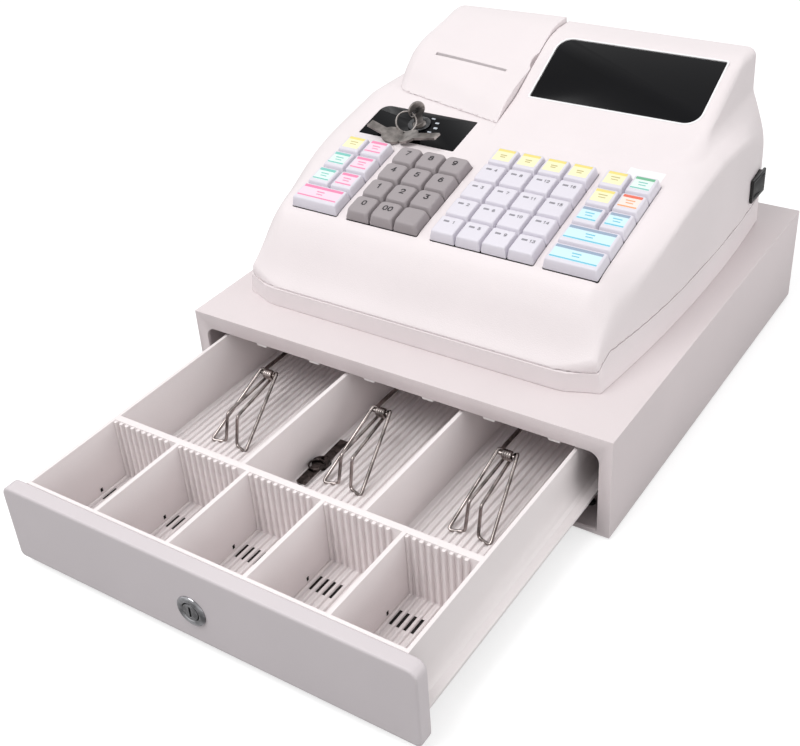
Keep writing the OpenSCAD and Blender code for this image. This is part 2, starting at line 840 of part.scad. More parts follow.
// The hood over the display, moved inwards by t and reaching down to z0.
module hood(t, z0) {
    x1 = hood_x + hood_w;
    intersection() {
        along_x(hood_x - 20, x1 + 20) polygon(inset([
            [reg_rear, z0 - 20],
            [reg_rear, hood_z],
            hood_brow,
            hood_fold,
            [hood_foot, deck_z + deck_rise * hood_foot],
            [hood_foot, z0 - 20]
        ], t));
        along_y(hood_foot - 10, reg_rear + 10) polygon(inset([
            [hood_x, z0 - 20],
            [x1, z0 - 20],
            [x1, back_z],
            [x1 - 2, hood_z - 7],
            [x1 - 8, hood_z],
            [hood_x, hood_z]
        ], t));
        block([-cab_w, 0, z0], [cab_w, cab_d, hood_z]);
    }
}

module lower_housing() {
    color(body_white) placed() difference() {
        intersection() {
            wedge(0);
            below_parting(-seam / 2);
        }
        intersection() {
            wedge(wall);
            block([-cab_w, 0, top + wall], [cab_w, cab_d, part_z + eps]);
        }
    }
}

// The opening for one block of keys: [left edge, columns, rows].
module block_opening(b) {
    translate([b[0] + key_gap / 2 - key_fit, key_v0 + key_gap / 2 - key_fit, -wall - 6])
        cube([b[1] * key_px - key_gap + 2 * key_fit, b[2] * key_py - key_gap + 2 * key_fit, wall + 16]);
}

module upper_housing() {
    color(body_white) placed() {
        difference() {
            union() {
                difference() {
                    wedge(0);
                    below_parting(seam / 2);
                }
                hood(0, back_z - 12);
            }
            difference() {
                wedge(wall);
                block([hood_x, hood_foot, back_z - 12], [hood_x + wall, cab_d, hood_z]);
            }
            hood(wall, back_z - 20);
            // Keys, lock panel and mode lock.
            on_deck() {
                for (b = blocks) block_opening(b);
                translate([0, 0, -panel_sink]) linear_extrude(height = 20) panel_outline(part_gap);
                translate([mode_x, mode_v, -20]) cylinder(h = 30, d = mode_rim_dia - 1, $fn = 48);
            }
            // Display window and the hole behind it.
            on_hood() {
                translate([0, 0, -window_t]) linear_extrude(height = 20) window_outline(part_gap);
                translate([0, 0, -window_t - 8]) linear_extrude(height = 20) window_outline(-3);
            }
            // Paper bay under the printer cover.
            block([cover_x0 + 4, 226, back_z - 20], [hood_x - cover_gap - 4, reg_rear - 4, hood_z]);
            // Power switch.
            block(
                [switch_wall_x - 12, switch_y - switch_l / 2 + 1.2, top + switch_z - switch_h / 2 + 1.2],
                [switch_wall_x + 5, switch_y + switch_l / 2 - 1.2, top + switch_z + switch_h / 2 - 1.2]
            );
        }
        // Bosses that carry the key frame.
        on_deck() for (p = boss_places())
            translate([p[0], p[1], frame_w1]) cylinder(h = -frame_w1 - 1, d = 5, $fn = 32);
        // Lugs and pins of the printer cover's hinge.
        for (side = [-1, 1]) {
            x = lid_mid() + side * lug_x - lug_w / 2;
            block([x, reg_rear - 1, back_z - 9], [x + lug_w, lid_pivot[0] + lug_r, back_z]);
            block([x, lid_pivot[0] - lug_r, back_z - 2], [x + lug_w, lid_pivot[0] + lug_r, lid_pivot[1]]);
            rod_x([x, lid_pivot[0], lid_pivot[1]], lug_w, 2 * lug_r);
            rod_x([side < 0 ? x + 5 : x - 9, lid_pivot[0], lid_pivot[1]], 10, lid_pin);
        }
    }
}

function lid_mid() = cover_x0 + cover_w / 2;

// Between the blocks of keys, at their front and rear.
function boss_places() = [
    for (x = [
        (left_x + 2 * key_px + num_x) / 2,
        (num_x + 3 * key_px + dept_x) / 2,
        (dept_x + 4 * key_px + right_x) / 2
    ])
        for (v = [key_v0 + 6, key_v0 + 3.6 * key_py])
            [x, v]
];

module panel_outline(grow) {
    r = 8;
    x0 = panel_x - grow;
    x1 = panel_x + panel_w + grow;
    v0 = panel_v - grow;
    v1 = panel_v + panel_d + grow;
    translate([x0 + r, v1 - r]) circle(r = r, $fn = 48);
    polygon([[x0, v0], [x1, v0], [x1, v1], [x0 + r, v1], [x0 + r, v1 - r], [x0, v1 - r]]);
}

module window_outline(grow) {
    r = 11;
    x0 = window_x - grow;
    x1 = window_x + window_w + grow;
    v0 = 3.5 - grow;
    v1 = 3.5 + window_l + grow;
    translate([x0 + r, v1 - r]) circle(r = r, $fn = 48);
    translate([x1 - r, v0 + r]) circle(r = r, $fn = 48);
    polygon([
        [x0, v0], [x1 - r, v0], [x1 - r, v0 + r], [x1, v0 + r],
        [x1, v1], [x0 + r, v1], [x0 + r, v1 - r], [x0, v1 - r]
    ]);
}

module display_window() {
    color("#101013") placed() on_hood() translate([0, 0, -window_t])
        linear_extrude(height = window_t) window_outline(0);
}

module lock_panel() {
    color("#141417") placed() on_deck() difference() {
        translate([0, 0, -panel_sink]) linear_extrude(height = panel_t) panel_outline(0);
        translate([mode_x, mode_v, -5]) cylinder(h = 10, d = mode_rim_dia - 1, $fn = 48);
    }
}

// ---- printer ----

// Side profile of the printer cover, moved inwards by t.
module cover_profile(t) {
    polygon(inset([
        [reg_rear, cover_z - 20],
        [reg_rear, hood_z - 4],
        [reg_rear - 4, hood_z],
        [hood_brow[0] + 6, hood_z],
        [hood_brow[0] - 15, hood_z - 6],
        [hood_fold[0] + 22, hood_fold[1] + 15],
        [hood_fold[0] + 5, hood_fold[1] + 5],
        [hood_fold[0] - 14, hood_fold[1] - 4],
        [hood_fold[0] - 19, cover_z],
        [hood_fold[0] - 19, cover_z - 20]
    ], t));
}

module printer_cover() {
    color(body_white) placed() difference() {
        union() {
            difference() {
                intersection() {
                    along_x(cover_x0, cover_x0 + cover_w) cover_profile(0);
                    block([cover_x0, 0, cover_z], [cover_x0 + cover_w, cab_d, hood_z]);
                }
                intersection() {
                    along_x(cover_x0 + wall, cover_x0 + cover_w - wall) cover_profile(wall);
                    block([cover_x0, 0, cover_z - eps], [cover_x0 + cover_w, cab_d, hood_z]);
                }
            }
            for (side = [-1, 1]) {
                x = lid_mid() + side * lid_knuckle_x - lid_knuckle_w / 2;
                rod_x([x, lid_pivot[0], lid_pivot[1]], lid_knuckle_w, lid_knuckle);
                block(
                    [x, reg_rear - 1, lid_pivot[1] - lid_knuckle / 4],
                    [x + lid_knuckle_w, lid_pivot[0], lid_pivot[1] + lid_knuckle / 4]
                );
            }
        }
        rod_x([cover_x0, lid_pivot[0], lid_pivot[1]], cover_w, lid_pin + 2 * run_fit);
        block([slot_x - slot_w / 2, 251, back_z], [slot_x + slot_w / 2, 253, hood_z]);
    }
}

module printer_frame() {
    x0 = slot_x - bay_w / 2;
    x1 = slot_x + bay_w / 2;
    color("#4a484b") placed() difference() {
        union() {
            block([x0 - cheek, platen_y - 8, bay_floor - frame_floor_t], [x1 + cheek, bay_y1, bay_floor]);
            for (x = [x0 - cheek, x1])
                block([x, platen_y - 8, bay_floor - 1], [x + cheek, bay_y1, platen_z + 7]);
            for (x = [x0 - cheek + foot_post / 2, x1 + cheek - foot_post / 2])
                for (y = [platen_y - 5, bay_y1 - 3])
                    translate([x, y, top + wall])
                        cylinder(h = bay_floor - 1 - top - wall, d = foot_post, $fn = 32);
        }
        rod_x([x0 - cheek - eps, platen_y, platen_z], bay_w + 2 * cheek + 2 * eps, platen_pin + 2 * run_fit);
    }
}

module platen_roller() {
    x0 = slot_x - bay_w / 2;
    color("#2c2b2d") placed() {
        rod_x([x0 + 0.6, platen_y, platen_z], bay_w - 1.2, platen_dia);
        rod_x([x0 - cheek - 2, platen_y, platen_z], bay_w + 2 * cheek + 4, platen_pin);
    }
}

module paper_roll() {
    color("#f6f4ee") placed() difference() {
        rod_x([slot_x - roll_w / 2, roll_y, roll_z], roll_w, roll_dia);
        rod_x([slot_x - roll_w / 2 - eps, roll_y, roll_z], roll_w + 2 * eps, 12);
    }
}

// ---- mode lock ----

module mode_lock() {
    color("#c9c9cd") placed() on_deck() translate([mode_x, mode_v, 0]) difference() {
        union() {
            translate([0, 0, 0.2]) cylinder(h = 1.6, d = mode_rim_dia + 1, $fn = 48);
            translate([0, 0, -18]) cylinder(h = 18.4, d = mode_rim_dia - 1.4, $fn = 48);
        }
        translate([0, 0, -16]) cylinder(h = 20, d = plug_dia + 2 * run_fit, $fn = 48);
    }
}

// The turning plug with its key.
module mode_key() {
    color("#8f8a88") placed() on_deck() translate([mode_x, mode_v, 0]) {
        translate([0, 0, -15.5]) cylinder(h = 16.8, d = plug_dia, $fn = 48);
        rotate([0, 0, bow_turn]) difference() {
            union() {
                block([-3.5, -key_t / 2, 1], [3.5, key_t / 2, 10]);
                translate([0, key_t / 2, bow_w]) rotate([90, 0, 0]) cylinder(h = key_t, d = 14, $fn = 40);
            }
            translate([-3.6, 2, bow_w - 2]) rotate([90, 0, 0]) cylinder(h = 4, d = 4.4, $fn = 24);
        }
    }
}

// Spare keys on the ring through the mode key's bow, lying over the front of the lock panel.
module spare_keys() {
    color("#8a807d") placed() on_deck() translate([mode_x, mode_v, 0]) {
        translate([-5.1, -9, bow_w - 5.9]) rotate([51.1, 0, 32.6]) ring(15.6, 1.4);
        translate([-10.5, -22.5, 3.8]) rotate([0, 0, 174]) rotate([0, -15, 0])
            translate([0, 0, -key_t / 2]) flat_key(17, 15, 0);
        translate([3, -20.5, 4]) rotate([0, 0, -6]) rotate([0, -16, 0])
            translate([0, 0, -key_t / 2]) flat_key(17, 24, 0);
    }
}

// ---- power switch ----

module power_switch_frame() {
    z0 = top + switch_z;
    color("#1b1b1d") placed() translate([switch_wall_x, switch_y, z0]) difference() {
        union() {
            block([0.1, -switch_l / 2, -switch_h / 2], [2, switch_l / 2, switch_h / 2]);
            block(
                [-12, -switch_l / 2 + 1.5, -switch_h / 2 + 1.5],
                [1, switch_l / 2 - 1.5, switch_h / 2 - 1.5]
            );
        }
        block([-9, -switch_l / 2 + 3, -switch_h / 2 + 3], [eps * 4, switch_l / 2 - 3, switch_h / 2 - 3]);
        translate([rocker_axis, 0, -switch_h / 2])
            cylinder(h = switch_h, d = rocker_pin + 2 * run_fit, $fn = 32);
    }
}

module power_rocker() {
    z0 = top + switch_z;
    half = switch_l / 2 - 4.5;
    h = switch_h / 2 - 3.4;
    color("#232326") placed() translate([switch_wall_x, switch_y, z0]) {
        translate([0, 0, -h]) linear_extrude(height = 2 * h) {
            polygon([[-4, -half + 1], [1.2, -half], [1.6, 0], [2.8, half], [-1, half - 0.4], [-5, 0]]);
            translate([rocker_axis, 0]) circle(d = 6, $fn = 48);
        }
        translate([rocker_axis, 0, -h - 1.6]) cylinder(h = 2 * h + 3.2, d = rocker_pin, $fn = 32);
    }
}

// ---- electronics ----

module main_board() {
    z0 = top + wall;
    color("#2f6b45") placed() {
        block([-110, 70, z0 + 6], [110, 200, z0 + 7.6]);
        for (x = [-104, 104])
            for (y = [76, 194])
                translate([x, y, z0]) cylinder(h = 6.5, d = 5, $fn = 32);
        block([-60, 100, z0 + 7], [-34, 126, z0 + 10]);
        block([10, 96, z0 + 7], [50, 112, z0 + 14]);
        block([60, 140, z0 + 7], [100, 180, z0 + 16]);
    }
}

module key_frame() {
    color("#77757a") placed() on_deck() difference() {
        union() {
            block([left_x, key_v0 - 1, frame_w0], [right_x + 2 * key_px, block_v1 + 1, frame_w1]);
            for (p = boss_places())
                translate([p[0], p[1], board_w1]) cylinder(h = frame_w0 - board_w1 + 0.5, d = 5, $fn = 32);
        }
        for (b = blocks)
            for (i = [0:b[1] - 1])
                for (j = [0:b[2] - 1])
                    translate([b[0] + (i + 0.5) * key_px, key_v0 + (j + 0.5) * key_py, frame_w0])
                        cube([stem_w + 2 * key_fit, stem_w + 2 * key_fit, 10], center = true);
    }
}

module key_board() {
    color("#2c6042") placed() on_deck()
        block([left_x, key_v0 - 1, board_w1 - board_t], [right_x + 2 * key_px, block_v1 + 1, board_w1]);
}

// ---- keys ----

// A cap that covers nx by ny places, with a stem under each place across.
module key_cap(x, v, nx, ny, tint) {
    hx = nx * key_px / 2 - key_gap / 2;
    hv = ny * key_py / 2 - key_gap / 2;
    tilt = 1.2;
    color(tint) translate([x + nx * key_px / 2, v + ny * key_py / 2, 0]) {
        intersection() {
            along_y(-hv, hv) polygon([
                [-hx, -cap_skirt], [hx, -cap_skirt], [hx, 1],
                [hx - cap_taper, cap_h], [-hx + cap_taper, cap_h], [-hx, 1]
            ]);
            along_x(-hx, hx) polygon([
                [-hv, -cap_skirt], [hv, -cap_skirt], [hv, 1],
                [hv - cap_taper + tilt, cap_h], [-hv + cap_taper + tilt, cap_h], [-hv, 1]
            ]);
        }
        for (i = [0:nx - 1])
            translate([(i - (nx - 1) / 2) * key_px, 0, 0])
                block([-stem_w / 2, -stem_w / 2, stem_w0], [stem_w / 2, stem_w / 2, 0]);
    }
}

// One key of the number block, at column i and row j from the front.
module number_key(i, j) {
    placed() on_deck() key_cap(num_x + i * key_px, key_v0 + j * key_py, 1, 1, grey);
}

// A row of keys from the left edge x0, one tint for each key.
module key_row(x0, row, tints) {
    placed() on_deck() for (i = [0:len(tints) - 1])
        key_cap(x0 + i * key_px, key_v0 + row * key_py, 1, 1, tints[i]);
}

module key_0() { number_key(0, 0); }
module key_00() { number_key(1, 0); }
module key_point() { number_key(2, 0); }
module key_1() { number_key(0, 1); }
module key_2() { number_key(1, 1); }
module key_3() { number_key(2, 1); }
module key_4() { number_key(0, 2); }
module key_5() { number_key(1, 2); }
module key_6() { number_key(2, 2); }
module key_7() { number_key(0, 3); }
module key_8() { number_key(1, 3); }
module key_9() { number_key(2, 3); }

module left_keys_1() { placed() on_deck() key_cap(left_x, key_v0, 2, 1, pink); }
module left_keys_2() { key_row(left_x, 1, [teal, pink]); }
module left_keys_3() { key_row(left_x, 2, [teal, pink]); }
module left_keys_4() { key_row(left_x, 3, [yellow, pink]); }

module dept_keys_1() { key_row(dept_x, 0, [white, white, white, white]); }
module dept_keys_2() { key_row(dept_x, 1, [white, white, white, white]); }
module dept_keys_3() { key_row(dept_x, 2, [white, white, white, white]); }
module dept_keys_4() { key_row(dept_x, 3, [white, white, white, white]); }
module dept_keys_5() { key_row(dept_x, 4, [yellow, yellow, yellow, yellow]); }

module right_keys_1() { placed() on_deck() key_cap(right_x, key_v0, 2, 1, cyan); }
module right_keys_2() { placed() on_deck() key_cap(right_x, key_v0 + key_py, 2, 1, cyan); }
module right_keys_3() { key_row(right_x, 2, [blue, blue]); }
module right_keys_4() { key_row(right_x, 3, [yellow, orange]); }
module right_keys_5() { key_row(right_x, 4, [yellow, mint]); }

// ---- the drawing ----

cabinet_shell();
cabinet_base();
rubber_feet();
lip_tabs();
drawer_rails();
latch_solenoid();
latch_hook();
ejector_spring();
drawer_tray();
drawer_front();
drawer_rollers();
drawer_lock_rim();
drawer_lock_plug();
bill_clip_1();
bill_clip_2();
bill_clip_3();
clip_arms();
drawer_keys();
lower_housing();
upper_housing();
display_window();
printer_cover();
printer_frame();
platen_roller();
paper_roll();
lock_panel();
mode_lock();
mode_key();
spare_keys();
power_switch_frame();
power_rocker();
main_board();
key_frame();
key_board();
key_0();
key_00();
key_point();
key_1();
key_2();
key_3();
key_4();
key_5();
key_6();
key_7();
key_8();
key_9();
left_keys_1();
left_keys_2();
left_keys_3();
left_keys_4();
dept_keys_1();
dept_keys_2();
dept_keys_3();
dept_keys_4();
dept_keys_5();
right_keys_1();
right_keys_2();
right_keys_3();
right_keys_4();
right_keys_5();
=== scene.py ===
import json
import math

import bmesh
import bpy
import numpy as np
from mathutils import Matrix, Vector

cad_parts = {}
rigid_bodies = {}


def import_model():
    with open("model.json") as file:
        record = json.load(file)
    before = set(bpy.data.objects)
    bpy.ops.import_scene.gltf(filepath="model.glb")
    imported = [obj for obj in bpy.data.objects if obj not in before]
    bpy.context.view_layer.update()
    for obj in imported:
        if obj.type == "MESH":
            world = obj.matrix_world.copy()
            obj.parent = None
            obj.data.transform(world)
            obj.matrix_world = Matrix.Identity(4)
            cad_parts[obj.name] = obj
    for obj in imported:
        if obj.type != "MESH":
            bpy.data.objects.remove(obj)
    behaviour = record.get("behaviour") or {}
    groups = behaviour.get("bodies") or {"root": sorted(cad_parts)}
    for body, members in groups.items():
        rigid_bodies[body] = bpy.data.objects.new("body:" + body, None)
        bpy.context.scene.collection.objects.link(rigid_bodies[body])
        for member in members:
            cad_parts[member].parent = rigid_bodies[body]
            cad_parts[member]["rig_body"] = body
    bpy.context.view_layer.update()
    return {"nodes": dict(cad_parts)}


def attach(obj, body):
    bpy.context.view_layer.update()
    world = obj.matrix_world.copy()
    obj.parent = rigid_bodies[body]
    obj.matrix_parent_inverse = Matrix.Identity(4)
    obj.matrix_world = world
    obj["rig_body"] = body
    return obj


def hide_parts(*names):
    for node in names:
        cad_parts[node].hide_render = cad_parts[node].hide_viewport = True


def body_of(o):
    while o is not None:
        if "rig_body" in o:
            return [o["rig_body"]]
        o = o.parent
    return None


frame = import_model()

# Lengths are in millimetres, and depths run from the cabinet's front face.
# The row frame has its origin under the middle of the whole object and is in metres.
FRONT_Y = -70.75
MM = 0.001


def row(p):
    """A point in millimetres from the cabinet's front, in the row frame in metres."""
    return Vector((p[0] * MM, (p[1] + FRONT_Y) * MM, p[2] * MM))


# ---- camera ----

AZIMUTH, ELEVATION, ROLL = 35.499, 34.074, -4.199
CAMERA_AT = (412.6, -559.6, 547.1)
IMAGE_WIDTH = 800
FOCAL_PIXELS = 1231.01
SENSOR = 36


def make_camera():
    az, el, roll = math.radians(AZIMUTH), math.radians(ELEVATION), math.radians(ROLL)
    back = Vector((math.sin(az) * math.cos(el), -math.cos(az) * math.cos(el), math.sin(el)))
    right0 = Vector((0, 0, 1)).cross(back).normalized()
    up0 = back.cross(right0)
    right = right0 * math.cos(roll) + up0 * math.sin(roll)
    up = up0 * math.cos(roll) - right0 * math.sin(roll)
    data = bpy.data.cameras.new("camera")
    data.lens = FOCAL_PIXELS / IMAGE_WIDTH * SENSOR
    data.sensor_width = SENSOR
    data.sensor_fit = "HORIZONTAL"
    data.clip_start = 0.01
    camera = bpy.data.objects.new("camera", data)
    turn = Matrix((right, up, back)).transposed().to_4x4()
    camera.matrix_world = Matrix.Translation(row(CAMERA_AT)) @ turn
    bpy.context.scene.collection.objects.link(camera)
    bpy.context.scene.camera = camera


make_camera()


# ---- materials ----

CLOUD_SCALE, CLOUD_DETAIL, GRAIN_DETAIL = 14.0, 4.0, 2.0
BUMP_STRENGTH = 0.35
SCUFF_DETAIL = 5.0


class Look:
    """A node material in the making, on the object's own coordinates."""

    def __init__(self, name):
        self.material = bpy.data.materials.new(name)
        self.material.use_nodes = True
        self.nodes, self.links = self.material.node_tree.nodes, self.material.node_tree.links
        self.shader = self.nodes["Principled BSDF"]
        self.place = self.nodes.new("ShaderNodeTexCoord").outputs["Object"]

    def texture(self, kind, **values):
        node = self.nodes.new(kind)
        for socket, value in values.items():
            node.inputs[socket.replace("_", " ")].default_value = value
        self.links.new(self.place, node.inputs["Vector"])
        return node

    def noise(self, scale, detail):
        return self.texture("ShaderNodeTexNoise", Scale=scale, Detail=detail).outputs["Fac"]

    def colour(self, value, low, dark, high, light):
        """Base colour that goes from dark to light as a value goes from low to high."""
        ramp = self.nodes.new("ShaderNodeValToRGB")
        first, last = ramp.color_ramp.elements
        first.position, last.position = low, high
        first.color, last.color = list(dark) + [1], list(light) + [1]
        self.links.new(value, ramp.inputs["Fac"])
        self.links.new(ramp.outputs["Color"], self.shader.inputs["Base Color"])

    def gloss(self, value, low, high):
        span = self.nodes.new("ShaderNodeMapRange")
        span.inputs["To Min"].default_value = low
        span.inputs["To Max"].default_value = high
        self.links.new(value, span.inputs["Value"])
        self.links.new(span.outputs["Result"], self.shader.inputs["Roughness"])

    def bump(self, value, distance):
        node = self.nodes.new("ShaderNodeBump")
        node.inputs["Strength"].default_value = BUMP_STRENGTH
        node.inputs["Distance"].default_value = distance
        self.links.new(value, node.inputs["Height"])
        self.links.new(node.outputs["Normal"], self.shader.inputs["Normal"])


def plastic(name, colour, rough=0.42, grain=0.00035, grain_size=1400.0, spread=0.03, specular=0.4):
    """Moulded plastic: fine spark texture, slight cloudiness of colour and of gloss."""
    look = Look(name)
    look.shader.inputs["Specular IOR Level"].default_value = specular
    cloud = look.noise(CLOUD_SCALE, CLOUD_DETAIL)
    dark = [c * (1 - spread) for c in colour]
    look.colour(cloud, 0.25, dark, 0.75, [min(1.0, c * (1 + spread / 2)) for c in colour])
    look.bump(look.noise(grain_size, GRAIN_DETAIL), grain)
    look.gloss(cloud, rough * 0.88, rough * 1.12)
    return look.material


def metal(name, colour, rough=0.2, streaks=220.0, dark=0.8):
    """Drawn or plated metal, with fine scuffs in its gloss and slight darker places."""
    look = Look(name)
    look.shader.inputs["Metallic"].default_value = 1.0
    scuffs = look.noise(streaks, SCUFF_DETAIL)
    look.colour(scuffs, 0.35, [c * dark for c in colour], 0.65, colour)
    look.gloss(scuffs, rough * 0.7, rough * 1.5)
    return look.material


def board(name, colour):
    """Lacquered circuit board: copper tracks show as a lighter weave under the lacquer."""
    look = Look(name)
    look.shader.inputs["Roughness"].default_value = 0.35
    tracks = look.texture(
        "ShaderNodeTexBrick", Scale=160.0, Mortar_Size=0.06, Color1=list(colour) + [1],
        Color2=[c * 0.8 for c in colour] + [1], Mortar=[min(1.0, c * 1.7) for c in colour] + [1])
    look.links.new(tracks.outputs["Color"], look.shader.inputs["Base Color"])
    return look.material


WHITE = plastic("white_plastic", (0.80, 0.735, 0.745))
CABINET = plastic("cabinet_coat", (0.69, 0.622, 0.63), rough=0.5, grain=0.0003, grain_size=900.0)
# The drawer front's plastic, its colour darkened to stand in for the shade that falls on the upright front
# face: painted shade.
FRONT_SHADED = plastic("drawer_front_plastic_shaded", (0.62, 0.572, 0.59), rough=0.45)
TRAY = plastic("tray_plastic", (0.82, 0.765, 0.765), rough=0.36)
TAB = plastic("tab_plastic", (0.86, 0.83, 0.83), rough=0.4)
RUBBER = plastic(
    "rubber", (0.03, 0.029, 0.03), rough=0.75, grain=0.0006, grain_size=700.0, spread=0.2, specular=0.2)
BLACK = plastic("black_plastic", (0.012, 0.012, 0.013), rough=0.3, spread=0.15)
GLOSS = plastic(
    "black_gloss", (0.004, 0.004, 0.005), rough=0.14, grain=0.00001, grain_size=60.0, spread=0.2, specular=0.1)
DARK = plastic("printer_plastic", (0.06, 0.058, 0.062), rough=0.5, spread=0.1)
PAPER = plastic("paper", (0.86, 0.85, 0.82), rough=0.85, grain=0.0005, grain_size=500.0, specular=0.2)
KEY_GREY = plastic("key_grey", (0.335, 0.30, 0.31), rough=0.42)
KEY_WHITE = plastic("key_white", (0.72, 0.69, 0.755), rough=0.3)
STICKER = plastic("sticker_white", (0.86, 0.85, 0.86), rough=0.35)
# Near-black for the slots under the coin cups: painted shade, standing in for the darkness seen through them.
SLOT_SHADE = plastic("painted_slot_shade", (0.02, 0.018, 0.018), rough=0.7, specular=0.1)

PRINTS = {name: plastic("print_" + name, colour, rough=0.35) for name, colour in {
    "yellow": (0.90, 0.86, 0.55),
    "straw": (0.84, 0.70, 0.22),
    "pale_pink": (0.88, 0.66, 0.76),
    "pink": (0.84, 0.24, 0.42),
    "pale_teal": (0.72, 0.84, 0.80),
    "teal": (0.20, 0.56, 0.50),
    "pale_cyan": (0.62, 0.82, 0.88),
    "cyan": (0.16, 0.55, 0.70),
    "slate": (0.30, 0.38, 0.50),
    "pale_orange": (0.90, 0.76, 0.70),
    "red": (0.78, 0.16, 0.10),
    "orange": (0.84, 0.36, 0.16),
    "pale_mint": (0.76, 0.87, 0.82),
    "green": (0.16, 0.46, 0.28),
}.items()}
MARK_GREY = plastic("mark_grey", (0.28, 0.27, 0.30), rough=0.5)
MARK_LIGHT = plastic("mark_light", (0.50, 0.53, 0.58), rough=0.5)
MARK_DARK = plastic("mark_dark", (0.045, 0.04, 0.045), rough=0.5)
MARK_STRAW = plastic("mark_straw", (0.55, 0.48, 0.22), rough=0.5)

STEEL = metal("steel", (0.62, 0.61, 0.615), rough=0.35)
DARK_STEEL = metal("dark_steel", (0.10, 0.10, 0.105), rough=0.22, streaks=160.0, dark=0.6)
CHROME = metal("chrome", (0.78, 0.78, 0.80), rough=0.12)
WIRE = metal("wire_chrome", (0.60, 0.575, 0.57), rough=0.16, streaks=120.0, dark=0.55)
CLIP_METAL = metal("clip_metal", (0.42, 0.37, 0.355), rough=0.12, streaks=90.0, dark=0.3)
LOCK_METAL = metal("lock_metal", (0.50, 0.50, 0.52), rough=0.10, streaks=120.0, dark=0.3)
PLUG_METAL = metal("plug_metal", (0.30, 0.30, 0.31), rough=0.25, streaks=200.0, dark=0.5)
KEY_DARK = metal("key_dark", (0.11, 0.09, 0.085), rough=0.25, streaks=150.0, dark=0.4)
KEY_METAL = metal("key_metal", (0.34, 0.31, 0.295), rough=0.3, streaks=150.0, dark=0.5)
GREEN = board("board_green", (0.04, 0.16, 0.075))

NODE_MATERIAL = {
    "cabinet_shell": CABINET, "cabinet_base": CABINET, "rubber_feet": RUBBER, "lip_tabs": TAB,
    "drawer_rails": STEEL, "latch_solenoid": STEEL, "latch_hook": STEEL, "ejector_spring": STEEL,
    "drawer_tray": TRAY, "drawer_front": FRONT_SHADED, "drawer_rollers": TAB,
    "drawer_lock_rim": CHROME, "drawer_lock_plug": CHROME,
    "bill_clip_1": WIRE, "bill_clip_2": WIRE, "bill_clip_3": WIRE, "clip_arms": WIRE,
    "drawer_keys": KEY_DARK, "lower_housing": WHITE, "upper_housing": WHITE,
    "display_window": GLOSS, "printer_cover": WHITE, "printer_frame": DARK,
    "platen_roller": RUBBER, "paper_roll": PAPER, "lock_panel": GLOSS,
    "mode_lock": CHROME, "mode_key": KEY_METAL, "spare_keys": KEY_METAL,
    "power_switch_frame": BLACK, "power_rocker": BLACK,
    "main_board": GREEN, "key_frame": DARK, "key_board": GREEN,
}

for name, node in frame["nodes"].items():
    number_key = name.startswith("key_") and name not in NODE_MATERIAL
    node.data.materials.clear()
    node.data.materials.append(KEY_GREY if number_key else NODE_MATERIAL.get(name, KEY_WHITE))


# ---- distance fields: negative inside ----

def both(a, b, r):
    """Intersection of two fields, its edge rounded to radius r."""
    return np.minimum(-r, np.maximum(a, b)) + np.hypot(np.maximum(a + r, 0), np.maximum(b + r, 0))


def either(a, b, r):
    """Union of two fields, with a hollow fillet of radius r between them."""
    return np.maximum(r, np.minimum(a, b)) - np.hypot(np.maximum(r - a, 0), np.maximum(r - b, 0))


PROBE = 0.05
LEAST_SLOPE = 0.25
LONGEST_MOVE = 0.6
NEWTON_STEPS = 2


def surface(field, low, high, h, name):
    """The zero surface of a field as a closed mesh of quads, h apart, moved onto the field's zero."""
    axes = [np.arange(low[k] - h, high[k] + 1.5 * h, h, dtype=np.float32) for k in range(3)]
    d = field(axes[0][:, None, None], axes[1][None, :, None], axes[2][None, None, :]).astype(np.float32)
    inside = d < 0
    count = np.zeros([n - 1 for n in d.shape], np.int8)
    corners = [(i, j, k) for i in (0, 1) for j in (0, 1) for k in (0, 1)]
    shape = count.shape
    for i, j, k in corners:
        count += inside[i:i + shape[0], j:j + shape[1], k:k + shape[2]]
    mixed = (count > 0) & (count < 8)
    cells = np.argwhere(mixed)
    number = np.full(shape, -1, np.int32)
    number[mixed] = np.arange(len(cells))
    total = np.zeros((len(cells), 3))
    hits = np.zeros(len(cells))
    for a in corners:
        for axis in range(3):
            if a[axis]:
                continue
            b = list(a)
            b[axis] = 1
            va = d[tuple((cells + a).T)]
            vb = d[tuple((cells + b).T)]
            cross = (va < 0) != (vb < 0)
            t = va[cross] / (va[cross] - vb[cross])
            total[cross] += np.array(a) + t[:, None] * (np.array(b) - np.array(a))
            hits[cross] += 1
    start = np.array([axis[0] for axis in axes])
    verts = start + h * (cells + total / hits[:, None])
    quads = []
    for axis in range(3):
        first = [slice(None)] * 3
        second = [slice(None)] * 3
        first[axis] = slice(0, -1)
        second[axis] = slice(1, None)
        sa, sb = inside[tuple(first)], inside[tuple(second)]
        others = [k for k in range(3) if k != axis]
        at = np.argwhere(sa != sb)
        ok = np.ones(len(at), bool)
        for k in others:
            ok &= (at[:, k] > 0) & (at[:, k] < shape[k])
        at = at[ok]
        ring = []
        for du, dv in ((-1, -1), (0, -1), (0, 0), (-1, 0)):
            c = at.copy()
            c[:, others[0]] += du
            c[:, others[1]] += dv
            ring.append(number[tuple(c.T)])
        quad = np.stack(ring, axis=1)
        flip = sa[tuple(at.T)] == (axis == 1)
        quad[flip] = quad[flip][:, ::-1]
        quads.append(quad)
    for step in range(NEWTON_STEPS):
        value = field(*verts.T)
        slope = np.stack([
            (field(*(verts + shift).T) - field(*(verts - shift).T)) / (2 * PROBE) for shift in PROBE * np.eye(3)
        ], axis=1)
        size = np.maximum((slope ** 2).sum(axis=1), LEAST_SLOPE)
        verts = verts - np.clip(value, -LONGEST_MOVE * h, LONGEST_MOVE * h)[:, None] * slope / size[:, None]
    return raw_mesh(name, verts, np.concatenate(quads))


